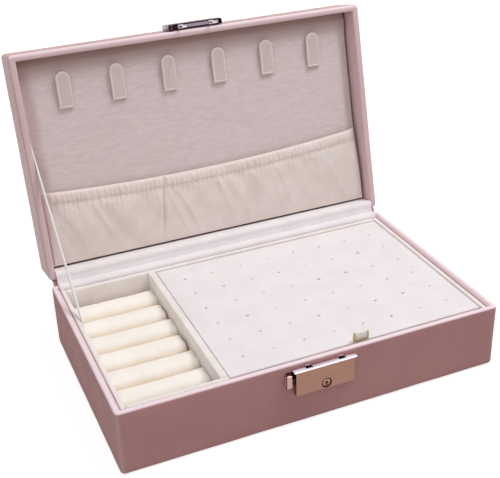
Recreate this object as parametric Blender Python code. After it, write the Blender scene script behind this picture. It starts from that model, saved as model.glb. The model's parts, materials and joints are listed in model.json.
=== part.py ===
"""Lockable travel jewelry box, standing open on a table.

Metres, +Z up, +X to the right as seen from the lock, +Y towards the hinge.
The origin is on the table, under the middle of the base.
The lid's pieces are shaped where they lie when the box is shut, and an empty on the
hinge line then holds the whole lid open.
"""

import math

import bmesh
import bpy
from mathutils import Matrix, Vector

# Box body

BOX_WIDTH = 0.2300
BOX_DEPTH = 0.1380
BASE_RIM = 0.0405
LID_HEIGHT = 0.0270
WALL = 0.0042
BASE_BOARD = 0.0025
LID_BOARD = 0.0025
CORNER_RADIUS = 0.0022
INNER_RADIUS = 0.0004
RIM_RADIUS = 0.0013
FOLD_RADIUS = 0.0011
BOTTOM_COVER = 0.0008
BOTTOM_COVER_INSET = 0.0025

# Gap between pieces that are glued together or rest on each other
SEAT = 0.0003
# How far a cutter reaches past what it cuts
OVERRUN = 0.0010

# Hinge line, behind the back face and above the base's rim
OPEN_ANGLE = math.radians(103.9)
HINGE_BEHIND = 0.0017
HINGE_ABOVE = 0.0007
SPINE = 0.0008
SPINE_REACH = 0.0150
SPINE_END_INSET = 0.0020
LINING_CLOTH = 0.0006
LINING_TUCK = 0.0060
LINING_PANEL_TUCK = 0.0012

# Liner boards round the inside of the base
LINER = 0.0026
LIP_DROP = 0.0009
LINER_FLOOR = 0.0015

# Ring compartment
RING_BAY = 0.0525
DIVIDER = 0.0043
RING_FOAM = 0.0080
ROLL_PITCH = 0.0181
ROLL_HEIGHT = 0.0177
ROLL_BACK_GAP = 0.0036
ROLL_FRONT_ROOM = 0.0100
ROLL_END_GAP = 0.0014
ROLL_END_SOFTNESS = 0.0030

# Earring tray and the well under it
TRAY_PAD = 0.0030
TRAY_BOARD = 0.0022
TRAY_DROP = 0.0009
TRAY_GAP = 0.0004
TRAY_EDGE_RADIUS = 0.0006
HOLE_COLUMNS = 8
HOLE_ROWS = 6
HOLE_MARGIN_X = 0.0138
HOLE_MARGIN_Y = 0.0166
HOLE_RADIUS = 0.0010
LEDGE = 0.0030
LEDGE_HEIGHT = 0.0050
WELL_DIVIDER = 0.0030
WELL_DIVIDER_COUNT = 2

# Pull loop of folded ribbon on the tray's front edge
LOOP_WIDTH = 0.0090
LOOP_HEIGHT = 0.0066
LOOP_DEPTH = 0.0022
LOOP_RIBBON = 0.0005
LOOP_SETBACK = 0.0006

# Lid lining, foam, necklace tabs
PANEL_DEPTH = 0.0085
PANEL = 0.0020
PANEL_SIDE_GAP = 0.0015
PANEL_FRONT_GAP = 0.0014
FOAM_MARGIN = 0.0025
TAB_COUNT = 6
TAB_LEFT_MARGIN = 0.02485
TAB_RIGHT_MARGIN = 0.02725
TAB_WIDTH = 0.0090
TAB_LENGTH = 0.0220
TAB_THICK = 0.0012
TAB_TIP_GAP = 0.0084
TAB_TILT = math.radians(4.0)
SLIT_WIDTH = 0.0012
SLIT_SPARE = 0.0005

# Elastic pocket
POCKET_MIDDLE = 0.0427
POCKET_SAG = 0.0050
POCKET_TILT = 0.0015
POCKET_CLOTH = 0.0008
POCKET_MARGIN = 0.0006
POCKET_BELLY = 0.0012
POCKET_HEM_STAND = 0.0018
POCKET_FOLD = 0.0005
POCKET_FOLD_PITCH = 0.0210
POCKET_COLUMNS = 54
POCKET_PIN_POWER = 24
POCKET_ROW_SHARES = (0, 0.05, 0.2, 0.4, 0.6, 0.78, 0.92, 1)
POCKET_DRIFT_SHARE = 0.35
ELASTIC = 0.0006
ELASTIC_WIDTH = 0.0040
ELASTIC_END_COLUMNS = 2

# Ribbon stay on the left side
STAY_WIDTH = 0.0060
STAY_THICK = 0.0005
STAY_BASE_FORWARD = 0.0390
STAY_TAIL = 0.0085
STAY_LID_BACK = 0.0780
STAY_LID_UP = 0.0060
STAY_LID_TUCK = 0.0060

# Lock on the base's front
LOCK_WIDTH = 0.0355
LOCK_OFFSET = 0.00125
LOCK_DROP = 0.0027
LOCK_HEIGHT = 0.0161
LOCK_DEPTH = 0.0040
SHEET = 0.0007
SHEET_BEND = 0.0004
BACK_PLATE = 0.0006
SLOT_WIDTH = 0.0040
SLOT_DEPTH = 0.0020
SLOT_FROM_EDGE = 0.0085
SLOT_SPACING = 0.0198
BUTTON_WIDTH = 0.0035
BUTTON_GAP = 0.0023
BUTTON_HEIGHT = 0.0100
BUTTON_RISE = 0.0053
BUTTON_DEPTH = 0.0030
BUTTON_EDGE = 0.0005
WINDOW_SPARE = 0.0005
SLIDE_THICK = 0.0012
BAR_HEIGHT = 0.0028
POST_WIDTH = 0.0016
POST_GAP = 0.0008
CATCH_THICK = 0.0012
LUG_WIDTH = 0.0016
SPRING_LUG_OFFSET = 0.0062

# Key cylinder and cam
KEY_OFFSET = 0.0005
KEY_RISE = 0.0037
KEY_HOLE_RADIUS = 0.0032
KEY_FACE_RADIUS = 0.0028
KEY_FACE_THICK = 0.0008
KEY_FACE_RECESS = 0.0002
BARREL_RADIUS = 0.0015
BARREL_LENGTH = 0.0052
KEY_SLOT_WIDTH = 0.0009
KEY_SLOT_HEIGHT = 0.0034
KEY_SLOT_DEPTH = 0.0005
CAM_HUB_RADIUS = 0.0025
CAM_REACH = 0.0045
CAM_WIDTH = 0.0016
CAM_THICK = 0.0010

# Return spring of the slide
SPRING_RADIUS = 0.0008
SPRING_WIRE_RADIUS = 0.00018
SPRING_TURNS = 6

# Rivets of the lock and of the strike
RIVET_SHANK = 0.0009
RIVET_BORE = 0.0012
RIVET_HEAD_RADIUS = 0.0016
RIVET_HEAD = 0.0004
RIVET_INNER_RADIUS = 0.0018
RIVET_INNER = 0.0006
RIVET_SINK_RADIUS = 0.0021
RIVET_FROM_EDGE = 0.0040
RIVET_DROP = 0.0010

# Strike on the lid's front
STRIKE_HEIGHT = 0.0120
STRIKE_PLATE_RISE = 0.0015
STRIKE_RIVET_RISE = 0.0067
HOOK_GAP = 0.0004
HOOK_SHANK = 0.0016
HOOK_NOSE_HEIGHT = 0.0017
HOOK_BEVEL = 0.0009
HOOK_THICK = 0.0009
HOOK_BAR_GAP = 0.0005
STRIKE_HEAD = 0.0003

# Counts of steps in round stretches
CORNER_STEPS = 3
RIM_STEPS = 2
ROUND_SIDES = 16
BORE_SIDES = 12
HOLE_SIDES = 8
CROWN_STEPS = 8
TIP_STEPS = 8
LOOP_STEPS = 4
COIL_STEPS = 8

# Places that follow from the sizes above

HALF_WIDTH = BOX_WIDTH / 2
FRONT = -BOX_DEPTH / 2
BACK = BOX_DEPTH / 2
INNER_SIDE = HALF_WIDTH - WALL
INNER_FRONT = FRONT + WALL
INNER_BACK = BACK - WALL

BASE_BOTTOM = BOTTOM_COVER + SEAT
BASE_FLOOR = BASE_BOTTOM + BASE_BOARD
LID_RIM = BASE_RIM + SEAT
LID_TOP = LID_RIM + LID_HEIGHT
LID_CEILING = LID_TOP - LID_BOARD
HINGE = Vector((0, BACK + HINGE_BEHIND, BASE_RIM + HINGE_ABOVE))

LINER_BOTTOM = BASE_FLOOR + SEAT
LINER_TOP = BASE_RIM - LIP_DROP
LINER_SIDE = INNER_SIDE - SEAT
LINER_SIDE_FACE = LINER_SIDE - LINER
LINER_FRONT = INNER_FRONT + SEAT
LINER_FRONT_FACE = LINER_FRONT + LINER
LINER_BACK = INNER_BACK - SEAT - LINING_CLOTH - SEAT
LINER_BACK_FACE = LINER_BACK - LINER
LINER_FLOOR_TOP = LINER_BOTTOM + LINER_FLOOR

DIVIDER_LEFT = -LINER_SIDE_FACE + RING_BAY
DIVIDER_RIGHT = DIVIDER_LEFT + DIVIDER
DIVIDER_BOTTOM = LINER_FLOOR_TOP + SEAT
RING_FOAM_TOP = DIVIDER_BOTTOM + RING_FOAM
ROLL_ROW = LINER_BACK_FACE - ROLL_BACK_GAP - ROLL_FRONT_ROOM - LINER_FRONT_FACE
ROLL_COUNT = int(ROLL_ROW / ROLL_PITCH)

TRAY_LEFT = DIVIDER_RIGHT + TRAY_GAP
TRAY_RIGHT = LINER_SIDE_FACE - TRAY_GAP
TRAY_FRONT = INNER_FRONT + TRAY_GAP
TRAY_BACK = LINER_BACK_FACE - TRAY_GAP
TRAY_TOP = LINER_TOP - TRAY_DROP
PAD_BOTTOM = TRAY_TOP - TRAY_PAD
TRAY_BOARD_TOP = PAD_BOTTOM - SEAT
TRAY_BOTTOM = TRAY_BOARD_TOP - TRAY_BOARD
LEDGE_TOP = TRAY_BOTTOM - SEAT
LEDGE_FACE = LINER_BACK_FACE - SEAT - LEDGE

PANEL_FACE = LID_RIM + PANEL_DEPTH
PANEL_BACK = PANEL_FACE + PANEL
PANEL_SIDE = INNER_SIDE - PANEL_SIDE_GAP
PANEL_FRONT_EDGE = INNER_FRONT + PANEL_FRONT_GAP
PANEL_HINGE_EDGE = INNER_BACK - SEAT - LINING_CLOTH - SEAT

LOCK_CENTRE = LOCK_OFFSET
LOCK_LEFT = LOCK_CENTRE - LOCK_WIDTH / 2
LOCK_RIGHT = LOCK_CENTRE + LOCK_WIDTH / 2
LOCK_TOP = BASE_RIM - LOCK_DROP
LOCK_BOTTOM = LOCK_TOP - LOCK_HEIGHT
LOCK_SEAT = FRONT - SEAT
LOCK_FACE = FRONT - LOCK_DEPTH
PLATE_FACE = LOCK_SEAT - BACK_PLATE
LOCK_CORE = (PLATE_FACE + LOCK_FACE + SHEET) / 2
SLOT_CENTRES = (LOCK_LEFT + SLOT_FROM_EDGE, LOCK_LEFT + SLOT_FROM_EDGE + SLOT_SPACING)

KEY_X = LOCK_CENTRE + KEY_OFFSET
KEY_Z = LOCK_BOTTOM + KEY_RISE
KEY_BORE_RADIUS = BARREL_RADIUS + SEAT
BAR_BOTTOM = KEY_Z + CAM_REACH + SEAT
BAR_TOP = BAR_BOTTOM + BAR_HEIGHT
BAR_LEFT = LOCK_LEFT - BUTTON_GAP + SEAT
HOOK_TIP = BAR_TOP + HOOK_BAR_GAP
NOSE_TOP = HOOK_TIP + HOOK_NOSE_HEIGHT
CATCH_BOTTOM = NOSE_TOP + SEAT
CATCH_TOP = CATCH_BOTTOM + CATCH_THICK
LOCK_LUG_RIGHT = KEY_X - CAM_REACH - SEAT
SPRING_LUG_LEFT = KEY_X + SPRING_LUG_OFFSET
SPRING_OUTER = SPRING_RADIUS + SPRING_WIRE_RADIUS
SPRING_Z = BAR_BOTTOM - SEAT - SPRING_OUTER
RIVET_Z = KEY_Z - RIVET_DROP
RIVET_XS = (LOCK_LEFT + RIVET_FROM_EDGE, LOCK_RIGHT - RIVET_FROM_EDGE)
STRIKE_TOP = LID_RIM + STRIKE_HEIGHT
STRIKE_RIVET_Z = LID_RIM + STRIKE_RIVET_RISE

# Colours as red, green, blue, then roughness and how metallic

FINISHES = {
    "pink_leather": ((0.42, 0.24, 0.23), 0.5, 0.0),
    "white_velour": ((0.80, 0.74, 0.75), 0.9, 0.0),
    "cream_velvet": ((0.86, 0.77, 0.66), 0.95, 0.0),
    "lid_lining": ((0.52, 0.43, 0.42), 0.6, 0.0),
    "pocket_cloth": ((0.62, 0.53, 0.47), 0.8, 0.0),
    "satin_ribbon": ((0.85, 0.72, 0.72), 0.35, 0.0),
    "fibreboard": ((0.35, 0.25, 0.17), 0.85, 0.0),
    "foam": ((0.80, 0.76, 0.66), 0.95, 0.0),
    "plated_steel": ((0.62, 0.52, 0.50), 0.22, 1.0),
    "bright_steel": ((0.80, 0.78, 0.80), 0.18, 1.0),
    "rubber_elastic": ((0.85, 0.83, 0.80), 0.8, 0.0),
}


def finish(name):
    """The material of one finish, made on first use."""
    if name in bpy.data.materials:
        return bpy.data.materials[name]
    colour, roughness, metallic = FINISHES[name]
    material = bpy.data.materials.new(name)
    material.use_nodes = True
    shader = material.node_tree.nodes["Principled BSDF"]
    shader.inputs["Base Color"].default_value = (*colour, 1)
    shader.inputs["Roughness"].default_value = roughness
    shader.inputs["Metallic"].default_value = metallic
    return material


# Shaping


def skin(mesh, loops):
    """Join closed loops of points, each to the next, and close both ends."""
    rings = [[mesh.verts.new(point) for point in loop] for loop in loops]
    count = len(rings[0])
    for first, second in zip(rings, rings[1:]):
        for i in range(count):
            j = (i + 1) % count
            mesh.faces.new((first[i], first[j], second[j], second[i]))
    mesh.faces.new(rings[0])
    mesh.faces.new(reversed(rings[-1]))


def block(mesh, low, high):
    """A plain box between two corners."""
    loops = []
    for z in (low[2], high[2]):
        loops.append(
            [
                (low[0], low[1], z),
                (high[0], low[1], z),
                (high[0], high[1], z),
                (low[0], high[1], z),
            ]
        )
    skin(mesh, loops)


def along_x(outline, x):
    """An outline of (y, z) points, stood at one x."""
    return [(x, y, z) for y, z in outline]


def along_y(outline, y):
    """An outline of (x, z) points, stood at one y."""
    return [(x, y, z) for x, z in outline]


def circle(centre, radius, sides):
    """Points round a circle, as pairs, with a flat side below."""
    points = []
    for i in range(sides):
        angle = 2 * math.pi * (i + 0.5) / sides
        points.append((centre[0] + radius * math.sin(angle), centre[1] + radius * math.cos(angle)))
    return points


def turned_y(mesh, centre, stations, sides):
    """A solid turned round a line along Y, from (y, radius) stations."""
    skin(mesh, [along_y(circle(centre, radius, sides), y) for y, radius in stations])


def rounded_loop(half_x, low_y, high_y, radius, z):
    """A rectangle with round corners, seen from above, at one height."""
    corners = (
        (half_x - radius, high_y - radius),
        (radius - half_x, high_y - radius),
        (radius - half_x, low_y + radius),
        (half_x - radius, low_y + radius),
    )
    points = []
    for quarter, (x, y) in enumerate(corners):
        for step in range(CORNER_STEPS + 1):
            angle = (quarter + step / CORNER_STEPS) * math.pi / 2
            points.append((x + radius * math.cos(angle), y + radius * math.sin(angle), z))
    return points


def wall_loop(inset, z):
    """The box's outline at one height, drawn in by an inset."""
    radius = max(CORNER_RADIUS - inset, INNER_RADIUS)
    return rounded_loop(HALF_WIDTH - inset, FRONT + inset, BACK - inset, radius, z)


def open_box(mesh, closed_end, board_face, rim):
    """Four walls and a board in one shell, with a rounded rim at its open end."""
    way = math.copysign(1, rim - closed_end)
    loops = [wall_loop(FOLD_RADIUS, closed_end), wall_loop(0, closed_end + way * FOLD_RADIUS)]
    for step in range(RIM_STEPS + 1):
        angle = step / RIM_STEPS * math.pi / 2
        inset = RIM_RADIUS * (1 - math.cos(angle))
        loops.append(wall_loop(inset, rim - way * RIM_RADIUS * (1 - math.sin(angle))))
    for step in range(RIM_STEPS + 1):
        angle = step / RIM_STEPS * math.pi / 2
        inset = WALL - RIM_RADIUS * (1 - math.sin(angle))
        loops.append(wall_loop(inset, rim - way * RIM_RADIUS * (1 - math.cos(angle))))
    loops.append(wall_loop(WALL, board_face))
    skin(mesh, loops)


def strip_outline(path, thick):
    """The outline of a strip of even thickness along a path of (y, z) points."""
    points = [Vector(point) for point in path]
    left = []
    right = []
    for i, point in enumerate(points):
        before = (point - points[i - 1]).normalized() if i else None
        after = (points[i + 1] - point).normalized() if i + 1 < len(points) else None
        along = ((before or after) + (after or before)).normalized()
        across = Vector((-along.y, along.x))
        stretch = 1 / across.dot(Vector((-(before or after).y, (before or after).x)))
        left.append(point + across * (thick / 2 * stretch))
        right.append(point - across * (thick / 2 * stretch))
    return [tuple(point) for point in left + right[::-1]]


def opened(y, z):
    """Where a point (y, z) of the shut lid lies once the lid stands open."""
    turned = Matrix.Rotation(-OPEN_ANGLE, 3, "X") @ (Vector((0, y, z)) - HINGE) + HINGE
    return (turned.y, turned.z)


def print_least_gap(name, points, apart, radius):
    """Measure and print the least gap between windings that lie some points apart."""
    pairs = ((a, b) for i, a in enumerate(points) for b in points[i + apart :])
    gap = min((a - b).length for a, b in pairs) - radius - radius
    print(f"{name}: least gap to itself {gap:.6f} m")


# Objects


def node(name, mesh, finish_name, holder=None, pivot=None, smooth=None):
    """Make a named object of a mesh, with its origin at the pivot it turns about."""
    bmesh.ops.recalc_face_normals(mesh, faces=mesh.faces)
    data = bpy.data.meshes.new(name)
    mesh.to_mesh(data)
    mesh.free()
    data.materials.append(finish(finish_name))
    thing = bpy.data.objects.new(name, data)
    bpy.context.scene.collection.objects.link(thing)
    if pivot is not None:
        data.transform(Matrix.Translation(-Vector(pivot)))
        thing.location = pivot
    if holder is not None:
        thing.parent = holder
        thing.matrix_parent_inverse = Matrix.Translation(-HINGE)
    if smooth is not None:
        data.shade_smooth()
        data.set_sharp_from_angle(angle=smooth)
    return thing


def carve(thing, mesh, holder=None, label="cutter"):
    """Cut a mesh of cutters out of an object."""
    cutter = node(thing.name + "_" + label, mesh, "fibreboard", holder)
    cutter.hide_render = True
    cutter.display_type = "WIRE"
    modifier = thing.modifiers.new(label, "BOOLEAN")
    modifier.operation = "DIFFERENCE"
    modifier.solver = "EXACT"
    modifier.object = cutter


def lid_holder():
    """The empty on the hinge line that holds the lid open."""
    holder = bpy.data.objects.new("lid_hinge_line", None)
    holder.location = HINGE
    holder.rotation_euler = (-OPEN_ANGLE, 0, 0)
    bpy.context.scene.collection.objects.link(holder)
    return holder


SOFT_EDGE = math.radians(40)

# Base


def add_rivet_bores(mesh, z):
    """Bores for both rivets through a front wall, with sinks for their inner heads."""
    sink_bottom = INNER_FRONT - SEAT - RIVET_INNER - SEAT
    stations = [
        (FRONT - OVERRUN, RIVET_BORE),
        (sink_bottom, RIVET_BORE),
        (sink_bottom, RIVET_SINK_RADIUS),
        (INNER_FRONT + OVERRUN, RIVET_SINK_RADIUS),
    ]
    for x in RIVET_XS:
        turned_y(mesh, (x, z), stations, BORE_SIDES)


def base_shell():
    """Walls and bottom board of the base, wrapped in leather."""
    mesh = bmesh.new()
    open_box(mesh, BASE_BOTTOM, BASE_FLOOR, BASE_RIM)
    shell = node("base_shell", mesh, "pink_leather", smooth=SOFT_EDGE)
    bores = bmesh.new()
    add_rivet_bores(bores, RIVET_Z)
    pocket = [
        (FRONT - OVERRUN, KEY_BORE_RADIUS),
        (LOCK_FACE + KEY_FACE_RECESS + BARREL_LENGTH + KEY_FACE_THICK + SEAT, KEY_BORE_RADIUS),
    ]
    turned_y(bores, (KEY_X, KEY_Z), pocket, BORE_SIDES)
    carve(shell, bores)


def base_bottom_cover():
    """Sheet of leather glued under the base, which rests on the table."""
    mesh = bmesh.new()
    loops = [wall_loop(BOTTOM_COVER_INSET, z) for z in (0, BOTTOM_COVER)]
    skin(mesh, loops)
    node("base_bottom_cover", mesh, "pink_leather")


def liner_sides():
    """Boards that line the left and right walls."""
    for name, way in (("liner_left", -1), ("liner_right", 1)):
        mesh = bmesh.new()
        xs = sorted((way * LINER_SIDE_FACE, way * LINER_SIDE))
        block(mesh, (xs[0], LINER_FRONT, LINER_BOTTOM), (xs[1], LINER_BACK, LINER_TOP))
        node(name, mesh, "white_velour")


def liner_back():
    """Board that lines the back wall."""
    mesh = bmesh.new()
    side = LINER_SIDE_FACE - SEAT
    block(mesh, (-side, LINER_BACK_FACE, LINER_BOTTOM), (side, LINER_BACK, LINER_TOP))
    node("liner_back", mesh, "white_velour")


def liner_front():
    """Board that lines the front wall, low where the tray's front edge rests on it."""
    side = LINER_SIDE_FACE - SEAT
    outline = [
        (-side, LINER_BOTTOM),
        (side, LINER_BOTTOM),
        (side, LEDGE_TOP),
        (DIVIDER_RIGHT, LEDGE_TOP),
        (DIVIDER_RIGHT, LINER_TOP),
        (-side, LINER_TOP),
    ]
    mesh = bmesh.new()
    skin(mesh, [along_y(outline, LINER_FRONT), along_y(outline, LINER_FRONT_FACE)])
    node("liner_front", mesh, "white_velour")


def liner_floor():
    """Board on the bottom, under both compartments."""
    side = LINER_SIDE_FACE - SEAT
    low = (-side, LINER_FRONT_FACE + SEAT, LINER_BOTTOM)
    high = (side, LINER_BACK_FACE - SEAT, LINER_FLOOR_TOP)
    mesh = bmesh.new()
    block(mesh, low, high)
    node("liner_floor", mesh, "white_velour")


def divider_wall():
    """Wall between the ring compartment and the tray's well."""
    low = (DIVIDER_LEFT, LINER_FRONT_FACE + SEAT, DIVIDER_BOTTOM)
    high = (DIVIDER_RIGHT, LINER_BACK_FACE - SEAT, LINER_TOP)
    mesh = bmesh.new()
    block(mesh, low, high)
    node("divider_wall", mesh, "white_velour")


def ring_foam():
    """Block that carries the ring rolls."""
    low = (SEAT - LINER_SIDE_FACE, LINER_FRONT_FACE + SEAT, DIVIDER_BOTTOM)
    high = (DIVIDER_LEFT - SEAT, LINER_BACK_FACE - SEAT, RING_FOAM_TOP)
    mesh = bmesh.new()
    block(mesh, low, high)
    node("ring_foam", mesh, "cream_velvet")


def roll_profile(middle, shrink):
    """Side view of a ring roll: drawn in at its foot, with a round crown, drawn in by shrink."""
    half = (ROLL_PITCH - SEAT) / 2 - shrink
    foot = RING_FOAM_TOP + SEAT
    spring_line = foot + ROLL_HEIGHT - shrink - half
    foot_share = 0.90
    outline = [(middle + half * foot_share, foot)]
    for step in range(CROWN_STEPS + 1):
        angle = math.pi * step / CROWN_STEPS
        outline.append((middle + half * math.cos(angle), spring_line + half * math.sin(angle)))
    outline.append((middle - half * foot_share, foot))
    return outline


def ring_rolls():
    """Velvet rolls, their ends rounded off, side by side from the back to the front."""
    left = ROLL_END_GAP - LINER_SIDE_FACE
    right = DIVIDER_LEFT - ROLL_END_GAP
    end_shares = ((0, 0.50), (0.30, 0.15), (1, 0))
    stations = [(left + ROLL_END_SOFTNESS * x, ROLL_END_SOFTNESS * y) for x, y in end_shares]
    stations += [(right - ROLL_END_SOFTNESS * x, ROLL_END_SOFTNESS * y) for x, y in end_shares[::-1]]
    for i in range(ROLL_COUNT):
        middle = LINER_BACK_FACE - ROLL_BACK_GAP - ROLL_PITCH * (i + 0.5)
        mesh = bmesh.new()
        skin(mesh, [along_x(roll_profile(middle, shrink), x) for x, shrink in stations])
        node(f"ring_roll_{i + 1}", mesh, "cream_velvet", smooth=SOFT_EDGE)


def tray_ledge():
    """Strip on the back liner that the tray's back edge rests on."""
    low = (DIVIDER_RIGHT + SEAT, LEDGE_FACE, LEDGE_TOP - LEDGE_HEIGHT)
    high = (LINER_SIDE_FACE - SEAT, LINER_BACK_FACE - SEAT, LEDGE_TOP)
    mesh = bmesh.new()
    block(mesh, low, high)
    node("tray_ledge", mesh, "white_velour")


def well_dividers():
    """Low walls across the well, notched under the ledge, that also carry the tray."""
    outline = [
        (LINER_FRONT_FACE + SEAT, DIVIDER_BOTTOM),
        (LINER_BACK_FACE - SEAT, DIVIDER_BOTTOM),
        (LINER_BACK_FACE - SEAT, LEDGE_TOP - LEDGE_HEIGHT - SEAT),
        (LEDGE_FACE - SEAT, LEDGE_TOP - LEDGE_HEIGHT - SEAT),
        (LEDGE_FACE - SEAT, LEDGE_TOP),
        (LINER_FRONT_FACE + SEAT, LEDGE_TOP),
    ]
    bay = (LINER_SIDE_FACE - DIVIDER_RIGHT) / (WELL_DIVIDER_COUNT + 1)
    for i in range(WELL_DIVIDER_COUNT):
        middle = DIVIDER_RIGHT + bay * (i + 1)
        mesh = bmesh.new()
        ends = (middle - WELL_DIVIDER / 2, middle + WELL_DIVIDER / 2)
        skin(mesh, [along_x(outline, x) for x in ends])
        node(f"well_divider_{i + 1}", mesh, "white_velour")


# Tray


def hole_cutters(low, high):
    """Cutters for the earring holes, in even rows and columns over the tray."""
    mesh = bmesh.new()
    span_x = TRAY_RIGHT - TRAY_LEFT - HOLE_MARGIN_X - HOLE_MARGIN_X
    span_y = TRAY_BACK - TRAY_FRONT - HOLE_MARGIN_Y - HOLE_MARGIN_Y
    for column in range(HOLE_COLUMNS):
        x = TRAY_LEFT + HOLE_MARGIN_X + span_x * column / (HOLE_COLUMNS - 1)
        for row in range(HOLE_ROWS):
            y = TRAY_FRONT + HOLE_MARGIN_Y + span_y * row / (HOLE_ROWS - 1)
            ring = circle((x, y), HOLE_RADIUS, HOLE_SIDES)
            skin(mesh, [[(a, b, z) for a, b in ring] for z in (low - OVERRUN, high + OVERRUN)])
    return mesh


def tray_board():
    """Stiff board under the tray's pad."""
    mesh = bmesh.new()
    low = (TRAY_LEFT, TRAY_FRONT, TRAY_BOTTOM)
    block(mesh, low, (TRAY_RIGHT, TRAY_BACK, TRAY_BOARD_TOP))
    board = node("tray_board", mesh, "fibreboard")
    carve(board, hole_cutters(TRAY_BOTTOM, TRAY_BOARD_TOP))


def tray_pad():
    """Velour pad of the tray, with a rounded top edge and holes for earring posts."""
    loops = []
    for inset, z in ((0, PAD_BOTTOM), (0, TRAY_TOP - TRAY_EDGE_RADIUS), (TRAY_EDGE_RADIUS, TRAY_TOP)):
        left, right = TRAY_LEFT + inset, TRAY_RIGHT - inset
        front, back = TRAY_FRONT + inset, TRAY_BACK - inset
        loops.append([(left, front, z), (right, front, z), (right, back, z), (left, back, z)])
    mesh = bmesh.new()
    skin(mesh, loops)
    pad = node("tray_pad", mesh, "white_velour")
    carve(pad, hole_cutters(PAD_BOTTOM, TRAY_TOP))


def pull_loop():
    """Ribbon folded into an upright loop at the tray's front edge, hinged at its back foot."""
    centre = (TRAY_LEFT + TRAY_RIGHT) / 2
    front = TRAY_FRONT + LOOP_SETBACK
    foot = TRAY_TOP + SEAT
    radius = (LOOP_DEPTH - LOOP_RIBBON) / 2
    middle = front + LOOP_DEPTH / 2
    bend = foot + LOOP_HEIGHT - LOOP_RIBBON / 2 - radius
    path = [(middle + radius, foot)]
    for step in range(LOOP_STEPS + 1):
        angle = math.pi * step / LOOP_STEPS
        path.append((middle + radius * math.cos(angle), bend + radius * math.sin(angle)))
    path.append((middle - radius, foot))
    outline = strip_outline(path, LOOP_RIBBON)
    mesh = bmesh.new()
    ends = (centre - LOOP_WIDTH / 2, centre + LOOP_WIDTH / 2)
    skin(mesh, [along_x(outline, x) for x in ends])
    pivot = (centre, front + LOOP_DEPTH, foot)
    node("pull_loop", mesh, "satin_ribbon", pivot=pivot, smooth=SOFT_EDGE)


# Lock


def lock_back_plate():
    """Plate riveted to the front wall, inside the lock's cover."""
    edge = SHEET + SEAT
    low = (LOCK_LEFT + edge, PLATE_FACE, LOCK_BOTTOM + edge)
    high = (LOCK_RIGHT - edge, LOCK_SEAT, LOCK_TOP - edge)
    mesh = bmesh.new()
    block(mesh, low, high)
    plate = node("lock_back_plate", mesh, "bright_steel")
    bores = bmesh.new()
    ends = (PLATE_FACE - OVERRUN, LOCK_SEAT + OVERRUN)
    for x in RIVET_XS:
        turned_y(bores, (x, RIVET_Z), [(y, RIVET_BORE) for y in ends], BORE_SIDES)
    turned_y(bores, (KEY_X, KEY_Z), [(y, KEY_BORE_RADIUS) for y in ends], BORE_SIDES)
    carve(plate, bores)


def bent_sheet_box(name, low, high, holder=None):
    """A box of bent sheet metal with rounded bends."""
    mesh = bmesh.new()
    block(mesh, low, high)
    box = node(name, mesh, "plated_steel", holder, smooth=SOFT_EDGE)
    bevel = box.modifiers.new("bends", "BEVEL")
    bevel.width = SHEET_BEND
    bevel.segments = 2
    bevel.limit_method = "ANGLE"
    return box


def lock_cover():
    """Cover of the lock: slots for the hooks on top, a window at the left, a keyhole in front."""
    box = bent_sheet_box(
        "lock_cover", (LOCK_LEFT, LOCK_FACE, LOCK_BOTTOM), (LOCK_RIGHT, LOCK_SEAT, LOCK_TOP)
    )
    cuts = bmesh.new()
    low = (LOCK_LEFT + SHEET, LOCK_FACE + SHEET, LOCK_BOTTOM + SHEET)
    block(cuts, low, (LOCK_RIGHT - SHEET, LOCK_SEAT + OVERRUN, LOCK_TOP - SHEET))
    carve(box, cuts)
    ways = bmesh.new()
    for x in SLOT_CENTRES:
        low = (x - SLOT_WIDTH / 2, LOCK_CORE - SLOT_DEPTH / 2, LOCK_TOP - SHEET - OVERRUN)
        high = (x + SLOT_WIDTH / 2, LOCK_CORE + SLOT_DEPTH / 2, LOCK_TOP + OVERRUN)
        block(ways, low, high)
    half = SLIDE_THICK / 2 + SEAT
    low = (LOCK_LEFT - OVERRUN, LOCK_CORE - half, BAR_BOTTOM - WINDOW_SPARE)
    high = (LOCK_LEFT + SHEET + OVERRUN, LOCK_CORE + half, BAR_TOP + WINDOW_SPARE)
    block(ways, low, high)
    bore = [(LOCK_FACE - OVERRUN, KEY_HOLE_RADIUS), (LOCK_FACE + SHEET + OVERRUN, KEY_HOLE_RADIUS)]
    turned_y(ways, (KEY_X, KEY_Z), bore, ROUND_SIDES)
    carve(box, ways, label="ways")


def lock_button():
    """Button at the lock's left end, pushed to the right to open."""
    left = LOCK_LEFT - BUTTON_GAP - BUTTON_WIDTH
    bottom = LOCK_BOTTOM + BUTTON_RISE
    mesh = bmesh.new()
    low = (left, LOCK_CORE - BUTTON_DEPTH / 2, bottom)
    block(mesh, low, (left + BUTTON_WIDTH, LOCK_CORE + BUTTON_DEPTH / 2, bottom + BUTTON_HEIGHT))
    button = node("lock_button", mesh, "plated_steel", smooth=SOFT_EDGE)
    bevel = button.modifiers.new("edges", "BEVEL")
    bevel.width = BUTTON_EDGE
    bevel.segments = 2
    bevel.limit_method = "ANGLE"


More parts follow.
